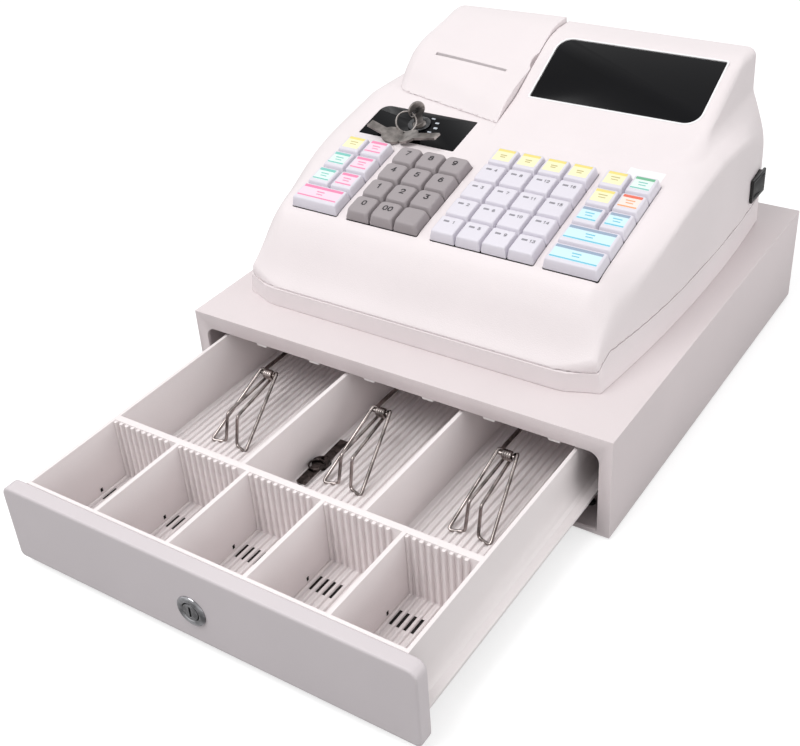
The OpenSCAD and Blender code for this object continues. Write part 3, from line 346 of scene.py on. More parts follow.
def raw_mesh(name, verts, quads):
    mesh = bpy.data.meshes.new(name)
    mesh.vertices.add(len(verts))
    placed = (np.asarray(verts) + (0, FRONT_Y, 0)) * MM
    mesh.vertices.foreach_set("co", placed.astype(np.float32).ravel())
    mesh.loops.add(quads.size)
    mesh.loops.foreach_set("vertex_index", quads.astype(np.int32).ravel())
    mesh.polygons.add(len(quads))
    mesh.polygons.foreach_set("loop_start", np.arange(0, quads.size, 4, dtype=np.int32))
    mesh.update(calc_edges=True)
    return mesh


# ---- meshes and pieces ----

SHARP = 32


def put(name, mesh, material, body, stands_for=()):
    """A new piece of the object, which rides on a body and stands for CAD nodes."""
    o = bpy.data.objects.new(name, mesh)
    bpy.context.scene.collection.objects.link(o)
    if material is not None:
        mesh.materials.clear()
        mesh.materials.append(material)
    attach(o, body)
    if stands_for:
        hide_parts(*stands_for)
    return o


def settle(o):
    """Replaces an object's mesh by what its modifiers make of it."""
    made = bpy.data.meshes.new_from_object(o.evaluated_get(bpy.context.evaluated_depsgraph_get()))
    o.modifiers.clear()
    o.data = made


def smooth(mesh, angle):
    mesh.shade_smooth()
    mesh.set_sharp_from_angle(angle=math.radians(angle))


def weigh_normals(o):
    m = o.modifiers.new("normals", "WEIGHTED_NORMAL")
    m.keep_sharp = True
    m.weight = 100


def mesh_of(bm, name):
    mesh = bpy.data.meshes.new(name)
    bm.to_mesh(mesh)
    bm.free()
    return mesh


def skin(bm, rings):
    """Faces from each ring of vertices to the next."""
    faces = []
    for a, b in zip(rings, rings[1:]):
        for i in range(len(a)):
            j = (i + 1) % len(a)
            faces.append(bm.faces.new((a[i], a[j], b[j], b[i])))
    return faces


def add_ring(bm, points):
    return [bm.verts.new(row(p)) for p in points]


def add_box(bm, low, high):
    low, high = row(low), row(high)
    made = bmesh.ops.create_cube(bm, size=1)
    spot = Matrix.Translation((low + high) / 2) @ Matrix.Diagonal((*(high - low), 1))
    bmesh.ops.transform(bm, matrix=spot, verts=made["verts"])


def join_prisms(name, prisms):
    """Closed prisms, each a pair of equally long rings of points, as one mesh."""
    bm = bmesh.new()
    for a, b in prisms:
        rings = [add_ring(bm, a), add_ring(bm, b)]
        bm.faces.new(rings[0][::-1])
        bm.faces.new(rings[1])
        skin(bm, rings)
    bmesh.ops.recalc_face_normals(bm, faces=bm.faces)
    return mesh_of(bm, name)


def cut(o, prisms):
    """Cuts prisms out of an object, by a slower solver where the quick one leaves it as it was."""
    tool = bpy.data.objects.new("cutter", join_prisms("cutter", prisms))
    bpy.context.scene.collection.objects.link(tool)
    before = len(o.data.vertices)
    for solver in ("MANIFOLD", "EXACT"):
        m = o.modifiers.new("cut", "BOOLEAN")
        m.operation = "DIFFERENCE"
        m.solver = solver
        m.object = tool
        settle(o)
        if len(o.data.vertices) != before:
            break
    bpy.data.objects.remove(tool)


def thin_out(o, faces):
    """Collapses edges where the surface is nearly flat, to about so many triangles."""
    tris = sum(len(p.vertices) - 2 for p in o.data.polygons)
    if tris > faces:
        m = o.modifiers.new("thin", "DECIMATE")
        m.ratio = faces / tris
        settle(o)


def finish_shell(o, faces):
    thin_out(o, faces)
    smooth(o.data, SHARP)
    weigh_normals(o)


def soften(name, width, material, label=None):
    """A copy of a CAD node with its edges rounded."""
    node = frame["nodes"][name]
    bm = bmesh.new()
    bm.from_mesh(node.data)
    bmesh.ops.remove_doubles(bm, verts=bm.verts, dist=1e-6)
    bmesh.ops.dissolve_limit(bm, angle_limit=math.radians(1.5), verts=bm.verts, edges=bm.edges)
    mesh = mesh_of(bm, name + "_soft")
    o = put(label or name + "_soft", mesh, material, body_of(node)[0], (name,))
    m = o.modifiers.new("round", "BEVEL")
    m.width = width * MM
    m.segments = 2
    m.limit_method = "ANGLE"
    m.angle_limit = math.radians(30)
    m.harden_normals = True
    mesh.shade_smooth()


# ---- the frames of the deck and of the display: across, up the slope, off the surface ----

DECK_Z, RISE = 129.0, 0.235
DECK_A = math.atan(RISE)
HOOD_Y, HOOD_Z = 230, 188
HOOD_A = math.atan(31.5 / 60)


def deck(u, v, w):
    y, z = v * math.cos(DECK_A) - w * math.sin(DECK_A), v * math.sin(DECK_A) + w * math.cos(DECK_A)
    return (u, y, DECK_Z + z)


def hood_at(u, v, w):
    y, z = v * math.cos(HOOD_A) - w * math.sin(HOOD_A), v * math.sin(HOOD_A) + w * math.cos(HOOD_A)
    return (u, HOOD_Y + y, HOOD_Z + z)


def rounded(x0, y0, x1, y1, radii, steps=6):
    """Outline of a rectangle, with a radius for each corner from the lower left, anticlockwise."""
    centres = ((x0, y0, 180), (x1, y0, 270), (x1, y1, 0), (x0, y1, 90))
    out = []
    for (x, y, turn), r in zip(centres, radii):
        cx = x + r if x == x0 else x - r
        cy = y + r if y == y0 else y - r
        for i in range(steps + 1):
            a = math.radians(turn + 90 * i / steps)
            out.append((cx + r * math.cos(a), cy + r * math.sin(a)))
    return out


def grown(area, by, radii, steps):
    """Outline of an area made larger by so much all round."""
    x0, y0, x1, y1 = area
    return rounded(x0 - by, y0 - by, x1 + by, y1 + by, radii, steps)


def prism(place, outline, w0, w1):
    return [place(u, v, w0) for u, v in outline], [place(u, v, w1) for u, v in outline]


def box_prism(low, high):
    x0, y0, z0 = low
    x1, y1, z1 = high
    ring = ((x0, y0), (x1, y0), (x1, y1), (x0, y1))
    return [(x, y, z0) for x, y in ring], [(x, y, z1) for x, y in ring]


STEP = 0.5


def blurred(values, reach, spread):
    """Values that stand half a millimetre apart, blurred over a spread in millimetres."""
    kernel = np.exp(-0.5 * (np.arange(-reach, reach + 1) * STEP / spread) ** 2)
    return np.convolve(np.pad(values, reach, mode="edge"), kernel / kernel.sum(), mode="valid")


# ---- the register's housings ----

REG_X, TOP, BACK = -4.5, 80.0, 322.0
BACK_Z = 181.2
EDGE_Y = [34, 43.5, 48, 56, 65, 75, 85, 95, 110, 127, 145, 160, 180, 200, 220, 240, 260, 280, 300, 322]
EDGE_U = [143, 142, 140.5, 140, 141, 142, 143.5, 145, 147, 149,
          150.5, 151, 151.5, 151.7, 152.3, 152.6, 152.6, 152.2, 150.6, 148.6]
DROP = [0.5, 3, 6.5, 12, 18.5, 21, 19.5, 17.3, 14.8, 12, 9.8, 9.1, 9.6, 11, 12.6, 13.2, 14, 17.5, 24, 33]
ROLL_U = [22, 22, 21, 19.5, 18, 17.5, 18, 20, 22, 23, 24, 24, 24, 24, 24, 24, 24, 22, 18, 15]
NOSE_Y = [20, 34, 37, 43, 48.5, 54, 58.5, 63, 67, 71, 76, 82, 90]
NOSE_Z = [77, 95, 98.5, 106, 115, 124.5, 131, 137, 141.4, 144.5, 146.6, 148.3, 150.15]
SIDE_R, SIDE_WIDEST, SIDE_HALF = 1340.0, 205.0, 155.2
FACE_Y, FACE_HALF = 34.0, 122.5
CHAMFER = (0.438, 0.899)
CHAMFER_RISE = 0.487
UPPER_WALL, LOWER_WALL = 3.4, 2.5
SEAM = 0.2
HOOD_LEFT, HOOD_TOP, HOOD_ROOT = -23.6, 219.5, 150.0
BROW = (-0.4648, 290, 0.8854, HOOD_TOP)
APRON = (-0.3285, HOOD_Y, 0.9445, HOOD_Z)

FINE_Y = np.arange(0, 360, STEP)
DECK_LINE = np.minimum(DECK_Z + RISE * FINE_Y, BACK_Z)
TOP_LINE = blurred(np.where(FINE_Y < NOSE_Y[-1], np.interp(FINE_Y, NOSE_Y, NOSE_Z), DECK_LINE), 12, 2.2)
TOP_SLOPE = np.gradient(TOP_LINE, FINE_Y)


def side_x(y):
    """Half width of the register at its foot: a very long arc."""
    return SIDE_HALF - SIDE_R + np.sqrt(SIDE_R ** 2 - (y - SIDE_WIDEST) ** 2)


def along(y, values):
    """A value from a table along the depth, with its corners rounded."""
    return np.interp(y, FINE_Y, blurred(np.interp(FINE_Y, EDGE_Y, values), 16, 3.0))


def wall_u(y, z):
    """Half width of the register at a depth and height."""
    base = side_x(y)
    edge = np.minimum(along(y, EDGE_U), base)
    height = np.interp(y, FINE_Y, TOP_LINE) - along(y, DROP) - TOP
    return base - (base - edge) / np.maximum(height, 12) * (z - TOP)


def wedge_field(x, y, z):
    """The body under the keys: a sloping top that rolls down to leaning sides, and a curved nose."""
    u = np.abs(x - REG_X)
    slope = np.interp(y, FINE_Y, TOP_SLOPE)
    edge = np.minimum(along(y, EDGE_U), side_x(y))
    drop, roll = along(y, DROP), along(y, ROLL_U)
    s = np.clip((u - (edge - roll)) / roll, 0, 1.7)
    across = 2 * drop * s / roll
    top = np.interp(y, FINE_Y, TOP_LINE) - drop * s ** 2
    d_top = (z - top) / np.sqrt(1 + slope ** 2 + across ** 2)
    d_side = u - wall_u(y, z)
    d_front = both(FACE_Y - y, (u - FACE_HALF) * CHAMFER[0] - (y - FACE_Y) * CHAMFER[1], 8.0)
    return both(both(d_front, d_side, 1.6), d_top, 2.0)


def slope_plane(plane, y, z):
    ny, y0, nz, z0 = plane
    return ny * (y - y0) + nz * (z - z0)


def hood_field(x, y, z):
    front = either(slope_plane(BROW, y, z), slope_plane(APRON, y, z), 0.6)
    d = both(front, z - HOOD_TOP, 6.0)
    plan = both(x - (132.0 - 0.02 * (z - 180)), 185.0 - y, 34.0)
    return both(both(d, plan, 7.0), HOOD_LEFT - x, 0.8)


def rooted_hood(x, y, z):
    return np.maximum(hood_field(x, y, z), HOOD_ROOT - z)


def body_field(x, y, z):
    fillet = np.interp(x, [-26, -12, 60, 118], [0.5, 1.5, 2.0, 7.0])
    return both(either(wedge_field(x, y, z), rooted_hood(x, y, z), fillet), y - BACK, 3.5)


def parting(y):
    """Height of the line where the two housings meet."""
    return np.interp(y, [43, 60], [95.0, 102.5])


def upper_field(x, y, z):
    inner = np.maximum(np.minimum(wedge_field(x, y, z), rooted_hood(x, y, z)), y - BACK) + UPPER_WALL
    shell = both(body_field(x, y, z), -inner, 0.3)
    return both(shell, (parting(y) + SEAM - z) * 0.93, 0.3)


PITCH_X, PITCH_V, KEY_V0, KEY_GAP = 20.3, 20.4, 73.0, 0.9
LEFT_X, NUM_X, DEPT_X, RIGHT_X = -124.0, -75.5, -4.6, 82.8
BLOCKS = ((LEFT_X, 2, 4), (NUM_X, 3, 4), (DEPT_X, 4, 5), (RIGHT_X, 2, 5))
PANEL = (-124.5, 167.0, -39.5, 205.0)
WINDOW = (-12.0, 3.5, 121.0, 63.5)
PRINTER_HOLE = ((-126.2, 226, 160), (-28.2, 318, 200))
SWITCH_HOLE = ((136, 287.7, 111.2), (158, 312.3, 127.8))
CUT_HIGH = 14


def make_upper():
    mesh = surface(upper_field, (-161, 33, 93), (152, 323, 221), 1.3, "upper_housing")
    o = put("upper_housing_shell", mesh, WHITE, "register", ("upper_housing",))
    cutters = []
    for x0, nx, ny in BLOCKS:
        block = (x0, KEY_V0, x0 + nx * PITCH_X, KEY_V0 + ny * PITCH_V)
        cutters.append(prism(deck, grown(block, 0.1, (1.5,) * 4, 4), -CUT_HIGH, CUT_HIGH))
    cutters.append(prism(deck, grown(PANEL, 0.3, (1.0, 1.0, 1.0, 8.3), 6), -1.6, CUT_HIGH))
    cutters.append(prism(hood_at, grown(WINDOW, 0.6, (1.5, 11.6, 1.5, 11.6), 10), -2.0, CUT_HIGH))
    cutters += [box_prism(*PRINTER_HOLE), box_prism(*SWITCH_HOLE)]
    cut(o, cutters)
    finish_shell(o, 190000)


LOWER_Y = np.concatenate([np.linspace(43.5, 60, 12), np.linspace(64, 318, 60), [320.5, 321.6, BACK]])
LOWER_LEVELS = [0, 0.4, 1.0, 6, 11, 16, 21, 1000]
FOOT_EASE = {0: 0.8, 1: 0.25}
FLOOR_LEVEL = 3
BACK_R = 3.5


def lower_outline(level, inward):
    """Outline of the lower housing at a level over its foot; the last level lies at the parting line."""
    pull = FOOT_EASE.get(level, 0) + inward
    height = TOP + LOWER_LEVELS[level]
    z = np.minimum(height, parting(LOWER_Y) - SEAM)
    bend = LOWER_Y - (BACK - BACK_R)
    back = np.where(bend > 0, np.sqrt(np.maximum(0, BACK_R ** 2 - bend ** 2)) - BACK_R, 0)
    u = wall_u(LOWER_Y, z) - pull + back
    y = LOWER_Y.copy()
    y[0] += 0.3 * inward
    y = np.minimum(y, BACK - pull)
    front_z = min(height, parting(FACE_Y) - SEAM)
    corner = REG_X + FACE_HALF
    right = [
        (corner - 6 + 0.2 * inward, FACE_Y + pull, front_z), (corner + 1.5, FACE_Y + 0.9 + pull, front_z),
        (corner + 8, FACE_Y + pull + 8 * CHAMFER_RISE, front_z)]
    right += [(REG_X + float(a), float(b), float(c)) for a, b, c in zip(u, y, z)]
    left = [(2 * REG_X - a, b, c) for a, b, c in right]
    return right + left[::-1]


def make_lower():
    last = len(LOWER_LEVELS) - 1
    outlines = [lower_outline(level, 0) for level in range(last + 1)]
    outlines += [lower_outline(level, LOWER_WALL) for level in range(last, FLOOR_LEVEL - 1, -1)]
    outlines.append([(x, y, TOP + LOWER_WALL) for x, y, z in lower_outline(FLOOR_LEVEL, LOWER_WALL)])
    bm = bmesh.new()
    rings = [add_ring(bm, outline) for outline in outlines]
    skin(bm, rings)
    bm.faces.new(rings[0][::-1])
    bm.faces.new(rings[-1])
    bmesh.ops.remove_doubles(bm, verts=bm.verts, dist=1e-6)
    bmesh.ops.recalc_face_normals(bm, faces=bm.faces)
    mesh = mesh_of(bm, "lower_housing")
    smooth(mesh, 28)
    weigh_normals(put("lower_housing_shell", mesh, WHITE, "register", ("lower_housing",)))


# ---- printer cover ----

# Depth behind the cover's front edge and height, on its right and on its left side.
COVER_RIGHT = ([-30, 0, 12.7, 33, 56, 74, 91, 103, 130], [149, 176, 187.5, 196, 202, 212, 221, 223, 223.5])
COVER_LEFT = ([-30, 0, 8, 15, 28, 44, 76, 92, 130], [160, 180, 188, 197, 207.5, 213.5, 218, 221, 222])
COVER_X0, COVER_X1, COVER_SPAN = -130.2, -24.2, 106
COVER_FOOT, COVER_SKEW = 201, 19
COVER_FINE = np.arange(-30, 130.5, STEP)
COVER_WALL = 2.2
SCOOPS = ((-23.4, 263.0, 206.5), (-131.5, 273.0, 213.0))
SCOOP_R, SCOOP_FLAT = 8.0, 2.3
PAPER_SLOT = ((-104.0, 245.2, 180), (-40.2, 248.0, 230))
HINGE_X, HINGE_HALF, KNUCKLE, KNUCKLE_R = -77.2, 38, 7, 3


def cover_solid(x, y, z):
    s = np.clip((COVER_X1 - x) / COVER_SPAN, 0, 1)
    at = y - (COVER_FOOT + s * COVER_SKEW)
    height, slope = 0, 0
    for share, points in ((1 - s, COVER_RIGHT), (s, COVER_LEFT)):
        line = blurred(np.interp(COVER_FINE, *points), 16, 3.0)
        height = height + share * np.interp(at, COVER_FINE, line)
        slope = slope + share * np.interp(at, COVER_FINE, np.gradient(line, COVER_FINE))
    d = (z - height) / np.sqrt(1 + slope ** 2)
    d = both(d, COVER_X0 - x, 13.0)
    d = both(d, x - COVER_X1, 0.7)
    for side, depth, middle in SCOOPS:
        far = np.sqrt(((x - side) * SCOOP_FLAT) ** 2 + (y - depth) ** 2 + (z - middle) ** 2)
        d = both(d, SCOOP_R - far, 0.8)
    return both(d, y - BACK, 6.0)


def cover_field(x, y, z):
    d = cover_solid(x, y, z)
    shell = both(d, -(d + COVER_WALL), 0.3)
    return both(shell, 0.35 - wedge_field(x, y, z), 0.5)


def make_cover():
    mesh = surface(cover_field, (-131, 196, 172), (-23.5, 323, 225), 0.75, "printer_cover")
    o = put("printer_cover_shell", mesh, WHITE, "printer_cover", ("printer_cover",))
    cut(o, [box_prism(*PAPER_SLOT)])
    finish_shell(o, 90000)
    bm = bmesh.new()
    for x in (HINGE_X - HINGE_HALF + 3.6, HINGE_X + HINGE_HALF - 3.6 - KNUCKLE):
        made = bmesh.ops.create_cone(
            bm, cap_ends=True, segments=32, radius1=KNUCKLE_R * MM, radius2=KNUCKLE_R * MM, depth=KNUCKLE * MM)
        middle = row((x + KNUCKLE / 2, 325, 184.5))
        spot = Matrix.Translation(middle) @ Matrix.Rotation(math.pi / 2, 4, "Y")
        bmesh.ops.transform(bm, matrix=spot, verts=made["verts"])
        add_box(bm, (x, BACK, 183), (x + KNUCKLE, 328, 186))
    hinge = mesh_of(bm, "cover_knuckles")
    smooth(hinge, 35)
    put("cover_knuckles", hinge, WHITE, "printer_cover")


# ---- drawer bin ----

BIN_HALF, DIVIDER_HALF = 142.6, 1.5
COIN_DIVIDERS = (-86.1, -26.9, 32.3, 91.5)
BILL_DIVIDERS = (-34.6, 59.4)
CUPS = (-193.0, -117.0, 16.0)
BAYS = (-112.0, 75.5, 20.0)
RIB_PITCH, RIB_START, RIB_TOP = 5.1, 1.05, 63.6
FLOOR_RIB = ((-1.3, -0.2), (1.3, -0.2), (1.05, 1.5), (0.55, 1.9), (-0.55, 1.9), (-1.05, 1.5))
REAR_RIB = ((-1.3, 0.2), (-1.1, -1.9), (-0.5, -2.4), (0.5, -2.4), (1.1, -1.9), (1.3, 0.2))
SLOTS_A_CUP, SLOT_START, SLOT_W = 4, 2.3, 2.6


def pockets(dividers, shape):
    """Left and right side of each pocket, with its front, back and floor."""
    walls = [-BIN_HALF]
    for x in dividers:
        walls += [x - DIVIDER_HALF, x + DIVIDER_HALF]
    walls.append(BIN_HALF)
    return [pair + shape for pair in zip(walls[::2], walls[1::2])]


def make_tray():
    soften("drawer_tray", 0.45, TRAY, label="drawer_bin")
    cups, bays = pockets(COIN_DIVIDERS, CUPS), pockets(BILL_DIVIDERS, BAYS)
    prisms = []
    for x0, x1, y0, y1, floor in cups + bays:
        coins = floor == CUPS[2]
        count = int((x1 - x0 - 2) / RIB_PITCH)
        start = x0 + RIB_START if coins else (x0 + x1 - (count - 1) * RIB_PITCH) / 2
        for i in range(count):
            x = start + i * RIB_PITCH
            y_front, y_back = y0 + (14 if coins else 1.5), y1 - 0.5
            prisms.append(([(x + a, y_front, floor + b) for a, b in FLOOR_RIB],
                           [(x + a, y_back, floor + b) for a, b in FLOOR_RIB]))
            if coins:
                prisms.append(([(x + a, y1 + b, floor - 0.1) for a, b in REAR_RIB],
                               [(x + a, y1 + b, RIB_TOP) for a, b in REAR_RIB]))
    ribs = join_prisms("bin_ribs", prisms)
    smooth(ribs, 50)
    put("bin_ribs", ribs, TRAY, "drawer")
    # Dark boxes that fill each cup's slots, and a thin dark mark at each cup's left wall: painted shade where
    # the slots and the corner fall dark.
    shade_marks = []
    for x0, x1, y0, y1, floor in cups:
        shade_marks.append(box_prism((x0 - 0.3, -143.2, floor + 3.4), (x0 + 0.12, -141.2, floor + 6.4)))
        for k in range(SLOTS_A_CUP):
            x = x0 + SLOT_START + RIB_PITCH * k
            shade_marks.append(box_prism((x - 0.1, -145.1, floor - 2.2), (x + SLOT_W + 0.1, -132.4, floor + 0.1)))
    put("bin_slot_shade", join_prisms("bin_slot_shade", shade_marks), SLOT_SHADE, "drawer")


# ---- drawer front and its lock ----

LOCK_X, LOCK_Z, LOCK_HOLE = -2.5, 31.5, 9.5
FRONT_FACE, FRONT_BACK, FRONT_SKIN = -206.5, -195.5, 3.0
FRONT_HALF, FRONT_LOW, FRONT_HIGH = 157.0, 6.5, 65.2
# Radius and depth behind the drawer's front of the lock's turned rim.
RIM = [(6.1, 6.0), (9.2, 6.0), (9.2, 0.05), (10.9, 0.05), (11.0, -0.25), (10.8, -0.8), (10.2, -1.35),
       (9.3, -1.75), (8.3, -1.95), (7.3, -1.8), (6.6, -1.35), (6.2, -0.8), (6.1, -0.3)]


def front_panel(x, z, inward, r_top, r_low):
    d = both(np.abs(x) - (FRONT_HALF - inward), z - (FRONT_HIGH - inward), r_top)
    return both(d, FRONT_LOW + inward - z, r_low)


def front_field(x, y, z):
    """A dished panel, open towards the back, with a hole for the lock."""
    d = both(front_panel(x, z, 0, 7.0, 4.0), np.maximum(FRONT_FACE - y, y - FRONT_BACK), 1.6)
    hollow = both(front_panel(x, z, FRONT_SKIN, 5.0, 3.0), FRONT_FACE + FRONT_SKIN - y, 1.0)
    return both(both(d, -hollow, 0.3), LOCK_HOLE - np.hypot(x - LOCK_X, z - LOCK_Z) + 0 * y, 0.3)


def make_front():
    mesh = surface(front_field, (-158, -207, 6), (158, -195, 66), 1.0, "drawer_front")
    # The front gets the darkened plastic, painted shade for its shaded face.
    o = put("drawer_front_shell", mesh, FRONT_SHADED, "drawer", ("drawer_front",))
    finish_shell(o, 60000)
    rim = turned("drawer_lock_ring", RIM, (LOCK_X, FRONT_FACE, LOCK_Z))
    put("drawer_lock_ring", rim, LOCK_METAL, "drawer", ("drawer_lock_rim",))


def circle(sides):
    return [2 * math.pi * i / sides for i in range(sides)]


def turned(name, profile, centre, sides=72):
    """A closed profile of radius and depth, turned about an axis along the depth."""
    x, y, z = centre
    bm = bmesh.new()
    rings = [
        add_ring(bm, [(x + r * math.cos(a), y + depth, z + r * math.sin(a)) for a in circle(sides)])
        for r, depth in profile]
    skin(bm, rings + rings[:1])
    bmesh.ops.recalc_face_normals(bm, faces=bm.faces)
    mesh = mesh_of(bm, name)
    smooth(mesh, 50)
    return mesh


# ---- bill clips ----

PIVOT_Y, PIVOT_Z = -8.0, 50.0
CLIPS = ((1, -98.0), (2, 1.0), (3, 100.0))
WIRE_R, ROD_R = 1.15, 1.5
COIL_TURNS, COIL_STEPS, COIL_R, COIL_W = 4, 20, 2.75, 6.4


def rounded_path(points, radius, steps=5):
    """The points of a polyline, its corners replaced by arcs."""
    pts = [Vector(p) for p in points]
    out = [pts[0]]
    for before, at, after in zip(pts, pts[1:], pts[2:]):
        a, b = (before - at), (after - at)
        cut_back = min(radius, 0.45 * a.length, 0.45 * b.length)
        p, q = at + a.normalized() * cut_back, at + b.normalized() * cut_back
        for i in range(steps + 1):
            t = i / steps
            out.append(p * (1 - t) ** 2 + at * 2 * t * (1 - t) + q * t ** 2)
    return out + [pts[-1]]


def add_wire(bm, path, r, sides=14):
    """A round wire along a path, closed at both ends."""
    tangent = [(b - a).normalized() for a, b in zip(path, path[1:])]
    tangent = [tangent[0]] + [(a + b).normalized() for a, b in zip(tangent, tangent[1:])] + [tangent[-1]]
    side = tangent[0].orthogonal().normalized()
    rings = []
    for p, t in zip(path, tangent):
        side = (side - t * side.dot(t)).normalized()
        up = t.cross(side)
        rings.append(add_ring(bm, [p + (side * math.cos(a) + up * math.sin(a)) * r for a in circle(sides)]))
    skin(bm, rings)
    bm.faces.new(rings[0][::-1])
    bm.faces.new(rings[-1])


def make_clip(number, x):
    """A sprung clip: two bent legs and the coil between them."""
    bm = bmesh.new()
    foot = x + 1.6
    for side in (-1, 1):
        legs = [
            (x + side * 2.2, PIVOT_Y, PIVOT_Z - 3.0), (foot + side * 4.4, -53, 43),
            (foot + side * 4.9, -58.5, 21.5), (foot + side * 15.5, -62, 21.5),
            (x + side * 7.0, PIVOT_Y + 1.5, PIVOT_Z + 2.6), (x + side * 4.2, PIVOT_Y + 2.6, PIVOT_Z + 0.4)]
        add_wire(bm, rounded_path(legs, 3.0), WIRE_R)
    coil = []
    for i in range(COIL_TURNS * COIL_STEPS + 1):
        a = 2 * math.pi * i / COIL_STEPS
        coil_x = x - COIL_W / 2 + COIL_W * i / (COIL_TURNS * COIL_STEPS)
        coil.append(Vector((coil_x, PIVOT_Y + COIL_R * math.sin(a), PIVOT_Z - COIL_R * math.cos(a))))
    add_wire(bm, coil, WIRE_R * 0.92)
    mesh = mesh_of(bm, "clip_wire_%d" % number)
    smooth(mesh, 60)
    node = "bill_clip_%d" % number
    put(mesh.name, mesh, CLIP_METAL, node, (node,))


def make_clips():
    bm = bmesh.new()
    for number, x in CLIPS:
        make_clip(number, x)
        add_wire(bm, [Vector((x - 6.4, PIVOT_Y, PIVOT_Z)), Vector((x + 5.2, PIVOT_Y, PIVOT_Z))], ROD_R)
        arm = [(x - 5.6, PIVOT_Y, PIVOT_Z), (x - 6.2, PIVOT_Y + 7, PIVOT_Z + 0.4), (x - 6.2, 74.5, PIVOT_Z)]
        add_wire(bm, rounded_path(arm, 2.0), ROD_R)
        add_box(bm, (x - 12.2, 73.5, 42), (x - 0.2, 75.5, 58))
    mesh = mesh_of(bm, "clip_rods")
    smooth(mesh, 50)
    put("clip_rods", mesh, CLIP_METAL, "drawer", ("clip_arms",))


# ---- keys ----

# Strokes of the digits, in a box one wide and one and a half high.
DIGITS = {
    "0": [(0.5, 0), (0.12, 0.2), (0, 0.75), (0.12, 1.3), (0.5, 1.5),
          (0.88, 1.3), (1, 0.75), (0.88, 0.2), (0.5, 0)],
    "1": [(0.2, 1.15), (0.58, 1.5), (0.58, 0)],
    "2": [(0, 1.1), (0.12, 1.38), (0.5, 1.5), (0.88, 1.38), (1, 1.08), (0.85, 0.75), (0, 0), (1, 0)],
    "3": [(0, 1.5), (1, 1.5), (0.45, 0.92), (0.85, 0.8), (1, 0.45),
          (0.85, 0.12), (0.5, 0), (0.12, 0.1), (0, 0.3)],
    "4": [(0.75, 0), (0.75, 1.5), (0, 0.45), (1, 0.45)],
    "5": [(0.9, 1.5), (0.15, 1.5), (0.08, 0.85), (0.5, 0.98), (0.88, 0.85), (1, 0.5),
          (0.85, 0.12), (0.5, 0), (0.12, 0.1), (0, 0.3)],
    "6": [(0.85, 1.4), (0.5, 1.5), (0.15, 1.2), (0, 0.6), (0.1, 0.15), (0.5, 0),
          (0.9, 0.15), (1, 0.48), (0.88, 0.82), (0.5, 0.95), (0.1, 0.72)],
    "7": [(0, 1.5), (1, 1.5), (0.4, 0)],
    "8": [(0.5, 0.82), (0.1, 1.0), (0.1, 1.35), (0.5, 1.5), (0.9, 1.35), (0.9, 1.0), (0.5, 0.82),
          (0, 0.6), (0, 0.18), (0.5, 0), (1, 0.18), (1, 0.6), (0.5, 0.82)],
    "9": [(0.15, 0.1), (0.5, 0), (0.85, 0.3), (1, 0.9), (0.9, 1.35), (0.5, 1.5),
          (0.1, 1.35), (0, 1.02), (0.12, 0.68), (0.5, 0.55), (0.9, 0.78)],
}
DIGIT_HIGH, DIGIT_ADVANCE = 1.5, 1.45
LABEL_W, LAYER = 7.04, 0.06
LABEL_LOW, LABEL_HIGH, LABEL_HALF = 5.6, 7.2, 6.9
FACE_SHIFT = 0.6
STEM_HALF, STEM_LOW, SKIRT_LOW = 2.5, -14.6, -0.8
SQUARE = ((-1, -1), (1, -1), (1, 1), (-1, 1))


